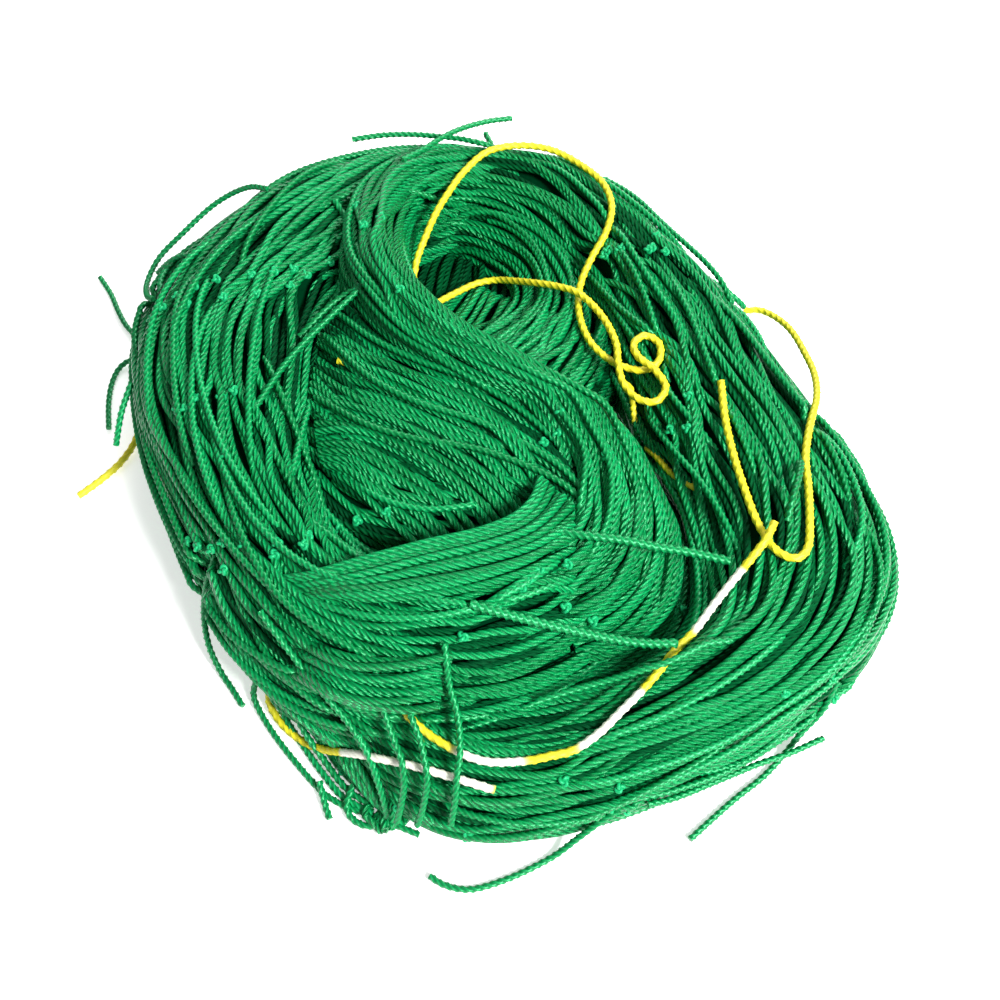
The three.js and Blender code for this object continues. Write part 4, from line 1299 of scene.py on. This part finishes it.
def tube_faces(steps, rings, corners):
    # faces from each ring of corners to the next, and from the last ring to the first if steps goes so far
    faces = []
    for ring in range(steps):
        here, following = ring * corners, (ring + 1) % rings * corners
        for k in range(corners):
            beside = (k + 1) % corners
            faces.append((here + k, here + beside, following + beside, following + k))
    return faces


def knot_shape():
    # a tube along a trefoil, which is the simplest knot there is
    turns = np.linspace(0, 2 * math.pi, KNOT_RINGS, endpoint=False)
    across, onward = np.sin(turns) + 2 * np.sin(2 * turns), np.cos(turns) - 2 * np.cos(2 * turns)
    line = np.stack([across, onward, -KNOT_RISE * np.sin(3 * turns)], axis=1) * KNOT_SIZE
    ahead = np.roll(line, -1, axis=0) - np.roll(line, 1, axis=0)
    side = np.cross(ahead, [0, 0, 1])
    side /= np.linalg.norm(side, axis=1)[:, None]
    up = np.cross(side, ahead)
    up /= np.linalg.norm(up, axis=1)[:, None]
    corners = np.linspace(0, 2 * math.pi, KNOT_CORNERS, endpoint=False)
    points = [centre + KNOT_TUBE * (s * math.cos(c) + u * math.sin(c))
              for centre, s, u in zip(line, side, up) for c in corners]
    faces = tube_faces(KNOT_RINGS, KNOT_RINGS, KNOT_CORNERS)
    return bpy.data.objects.new("knot", new_mesh("knot", np.array(points) * MM, faces=faces))


# %% Geometry Nodes: a knot at each point
KNOT_INPUTS = [("Knot", "NodeSocketObject"), ("Seed", "NodeSocketInt"), ("Material", "NodeSocketMaterial")]


def make_knot_tree():
    tree = new_geometry_tree("Knots on points", KNOT_INPUTS)
    given = add_node(tree, "NodeGroupInput").outputs
    knot = add_node(tree, "GeometryNodeObjectInfo", inputs={"Object": given["Knot"]})
    outward = add_node(
        tree, "GeometryNodeInputNamedAttribute", {"data_type": "FLOAT_VECTOR"}, {"Name": "direction"}
    )
    aimed = add_node(tree, "FunctionNodeAlignRotationToVector", {"axis": "Z"}, {"Vector": outward})
    spin = add_node(
        tree, "FunctionNodeRandomValue", {"data_type": "FLOAT"},
        {"Min": 0.0, "Max": 2 * math.pi, "Seed": given["Seed"]},
    )
    turn = add_node(tree, "ShaderNodeCombineXYZ", inputs={"Z": spin})
    turned = add_node(
        tree, "FunctionNodeRotateRotation", {"rotation_space": "LOCAL"},
        {"Rotation": aimed, "Rotate By": turn},
    )
    copies = add_node(tree, "GeometryNodeInstanceOnPoints", inputs={
        "Points": given["Geometry"], "Instance": knot.outputs["Geometry"], "Rotation": turned,
    })
    close_geometry_tree(tree, copies, given["Material"])
    return tree


# %% Knots of the hank
KNOT_SEED = 3
KNOT_LIFT = 0.9
KNOT_DEEPEST = 1.0
LOWEST_KNOT = 2.0
# patches of about a millimetre stand for a knot's threads, which lie every way
KNOT_PATCH = 0.909 * MM
KNOT_DETAIL = 2.0
KNOT_DEPTH = 0.2 * MM
KNOT_LOOK = {"Roughness": 0.34, "Specular Tint": linear(GLINT)}


def knot_points():
    points, directions = [], []
    for name in LAYS:
        grid, _, reached = lay_grids[name]
        for knot_reached, knot_across in knot_places(name):
            k = min(int(np.argmin(np.abs(reached - knot_reached))), len(grid) - 2)
            ring = grid[k]
            share = np.interp(knot_across * ring["outline"][-1], ring["outline"], ring["shares"])
            spot, way = section_points(ring["section"], turn_at(np.array([share])), np.array([KNOT_LIFT]))
            if depth_of(spot[0]) < KNOT_DEEPEST:
                points.append([spot[0][0], spot[0][1], max(spot[0][2], LOWEST_KNOT)])
                directions.append(way[0])
    return np.array(points), np.array(directions)


def make_knots():
    points, directions = knot_points()
    mesh = new_mesh("knots", points * MM)
    layer = mesh.attributes.new("direction", "FLOAT_VECTOR", "POINT")
    layer.data.foreach_set("vector", directions.ravel().astype(np.float32))
    piece = new_object("knots", mesh)
    material = patchy_material(
        "green_knot", GREEN, KNOT_LIGHT, KNOT_PATCH, KNOT_DETAIL, KNOT_DEPTH, KNOT_LOOK
    )
    apply_tree(piece, make_knot_tree(), {"Knot": knot_shape(), "Seed": KNOT_SEED, "Material": material})
    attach(piece, "root")
    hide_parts("net_hank")
    print("knots:", len(points), "knots,", triangles(piece), "triangles")


make_knots()

# %% [markdown]
# ## The filling behind the twines
#
# Between the twines one should see more net and not daylight. A closed dark body just below the lower
# layer stands for the hundreds of turns that can't be seen, and it keeps the folded form of each lay. Its
# near-black green is painted shade: the turns there are the same green twine, lying in shadow.

# %% Dark body of each lay
FILL_SINK = -3.6
FILL_POINTS = 48
FILL_LOWEST = 0.3
# sections left out at both ends, and every how many of the others it takes
FILL_TRIM = 2
FILL_EVERY = 2
FILL_PATCH = 2.5 * MM
FILL_DETAIL = 4.0
FILL_DEPTH = 0.5 * MM
FILL_LOOK = {"Roughness": 0.7, "Specular IOR Level": 0.0}


def lay_body(name):
    # vertices and faces of one closed lay, a little inside its twines
    turns = np.linspace(-0.5, 1.5, FILL_POINTS, endpoint=False) * math.pi
    sunk = np.full(FILL_POINTS, FILL_SINK)
    grid = lay_grids[name][0][FILL_TRIM:-FILL_TRIM:FILL_EVERY]
    points = np.vstack([section_points(ring["section"], turns, sunk)[0] for ring in grid])
    points[:, 2] = np.maximum(points[:, 2], FILL_LOWEST)
    faces = tube_faces(len(grid) - 1, len(grid), FILL_POINTS)
    faces.append(tuple(range(FILL_POINTS))[::-1])
    faces.append(tuple(range(len(points) - FILL_POINTS, len(points))))
    return points, faces


def make_filling():
    points, faces, count = [], [], 0
    for name in FULL_LAYS:
        body_points, body_faces = lay_body(name)
        points.append(body_points)
        faces += [tuple(k + count for k in face) for face in body_faces]
        count += len(body_points)
    mesh = new_mesh("hank_inside", np.vstack(points) * MM, faces=faces)
    # painted shade: the body's near-black greens
    mesh.materials.append(patchy_material(
        "green_twine_inside", GREEN_INSIDE_SHADE, GREEN_SHADE_DARK, FILL_PATCH, FILL_DETAIL, FILL_DEPTH, FILL_LOOK
    ))
    piece = new_object("hank_inside", mesh)
    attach(piece, "root")
    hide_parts("net_hank")
    print("hank_inside:", triangles(piece), "triangles")


make_filling()

# %% [markdown]
# ## Floor and light
#
# The photograph is a bright studio shot on white: the floor is burnt out, and only the ends that stand
# off it throw a soft grey shadow. A white world fills from all round, one lamp at the front right gives
# each ply its highlight, and a weaker one at the back opens the shadows on the far side.

# %% Floor, lights, colour management
WHITE = (1, 1, 1, 1)
FLOOR_HALF = 1.5
FLOOR_GLOW = 0.5
FLOOR_ROUGHNESS = 0.8
WORLD_STRENGTH = 0.4
# place and size in metres, power in watts
LAMPS = {
    "key": [(0.42, -0.4, 0.6), 0.2, 13.0],
    "back": [(0.1, 0.62, 0.5), 0.5, 5.0],
}


def make_floor():
    material, tree = new_material("floor")
    close_material(tree, {
        "Base Color": linear(FLOOR), "Roughness": FLOOR_ROUGHNESS, "Emission Color": WHITE,
        "Emission Strength": FLOOR_GLOW,
    })
    corners = np.array([(-1, -1, 0), (1, -1, 0), (1, 1, 0), (-1, 1, 0)])
    mesh = new_mesh("floor", corners * FLOOR_HALF, faces=[(0, 1, 2, 3)])
    mesh.materials.append(material)
    floor = new_object("floor", mesh)


def make_lamp(name, place, size, power):
    data = bpy.data.lights.new(name, "AREA")
    data.size = size
    data.energy = power
    lamp = new_object(name, data)
    lamp.location = place
    lamp.rotation_euler = (-Vector(place)).to_track_quat("-Z", "Y").to_euler()


def make_world():
    world = bpy.data.worlds.new("studio")
    world.use_nodes = True
    background = world.node_tree.nodes["Background"]
    background.inputs["Color"].default_value = WHITE
    background.inputs["Strength"].default_value = WORLD_STRENGTH
    bpy.context.scene.world = world


make_floor()
for name, facts in LAMPS.items():
    make_lamp(name, *facts)
make_world()
bpy.context.scene.view_settings.view_transform = "Standard"
print("floor, two lamps and a white world")
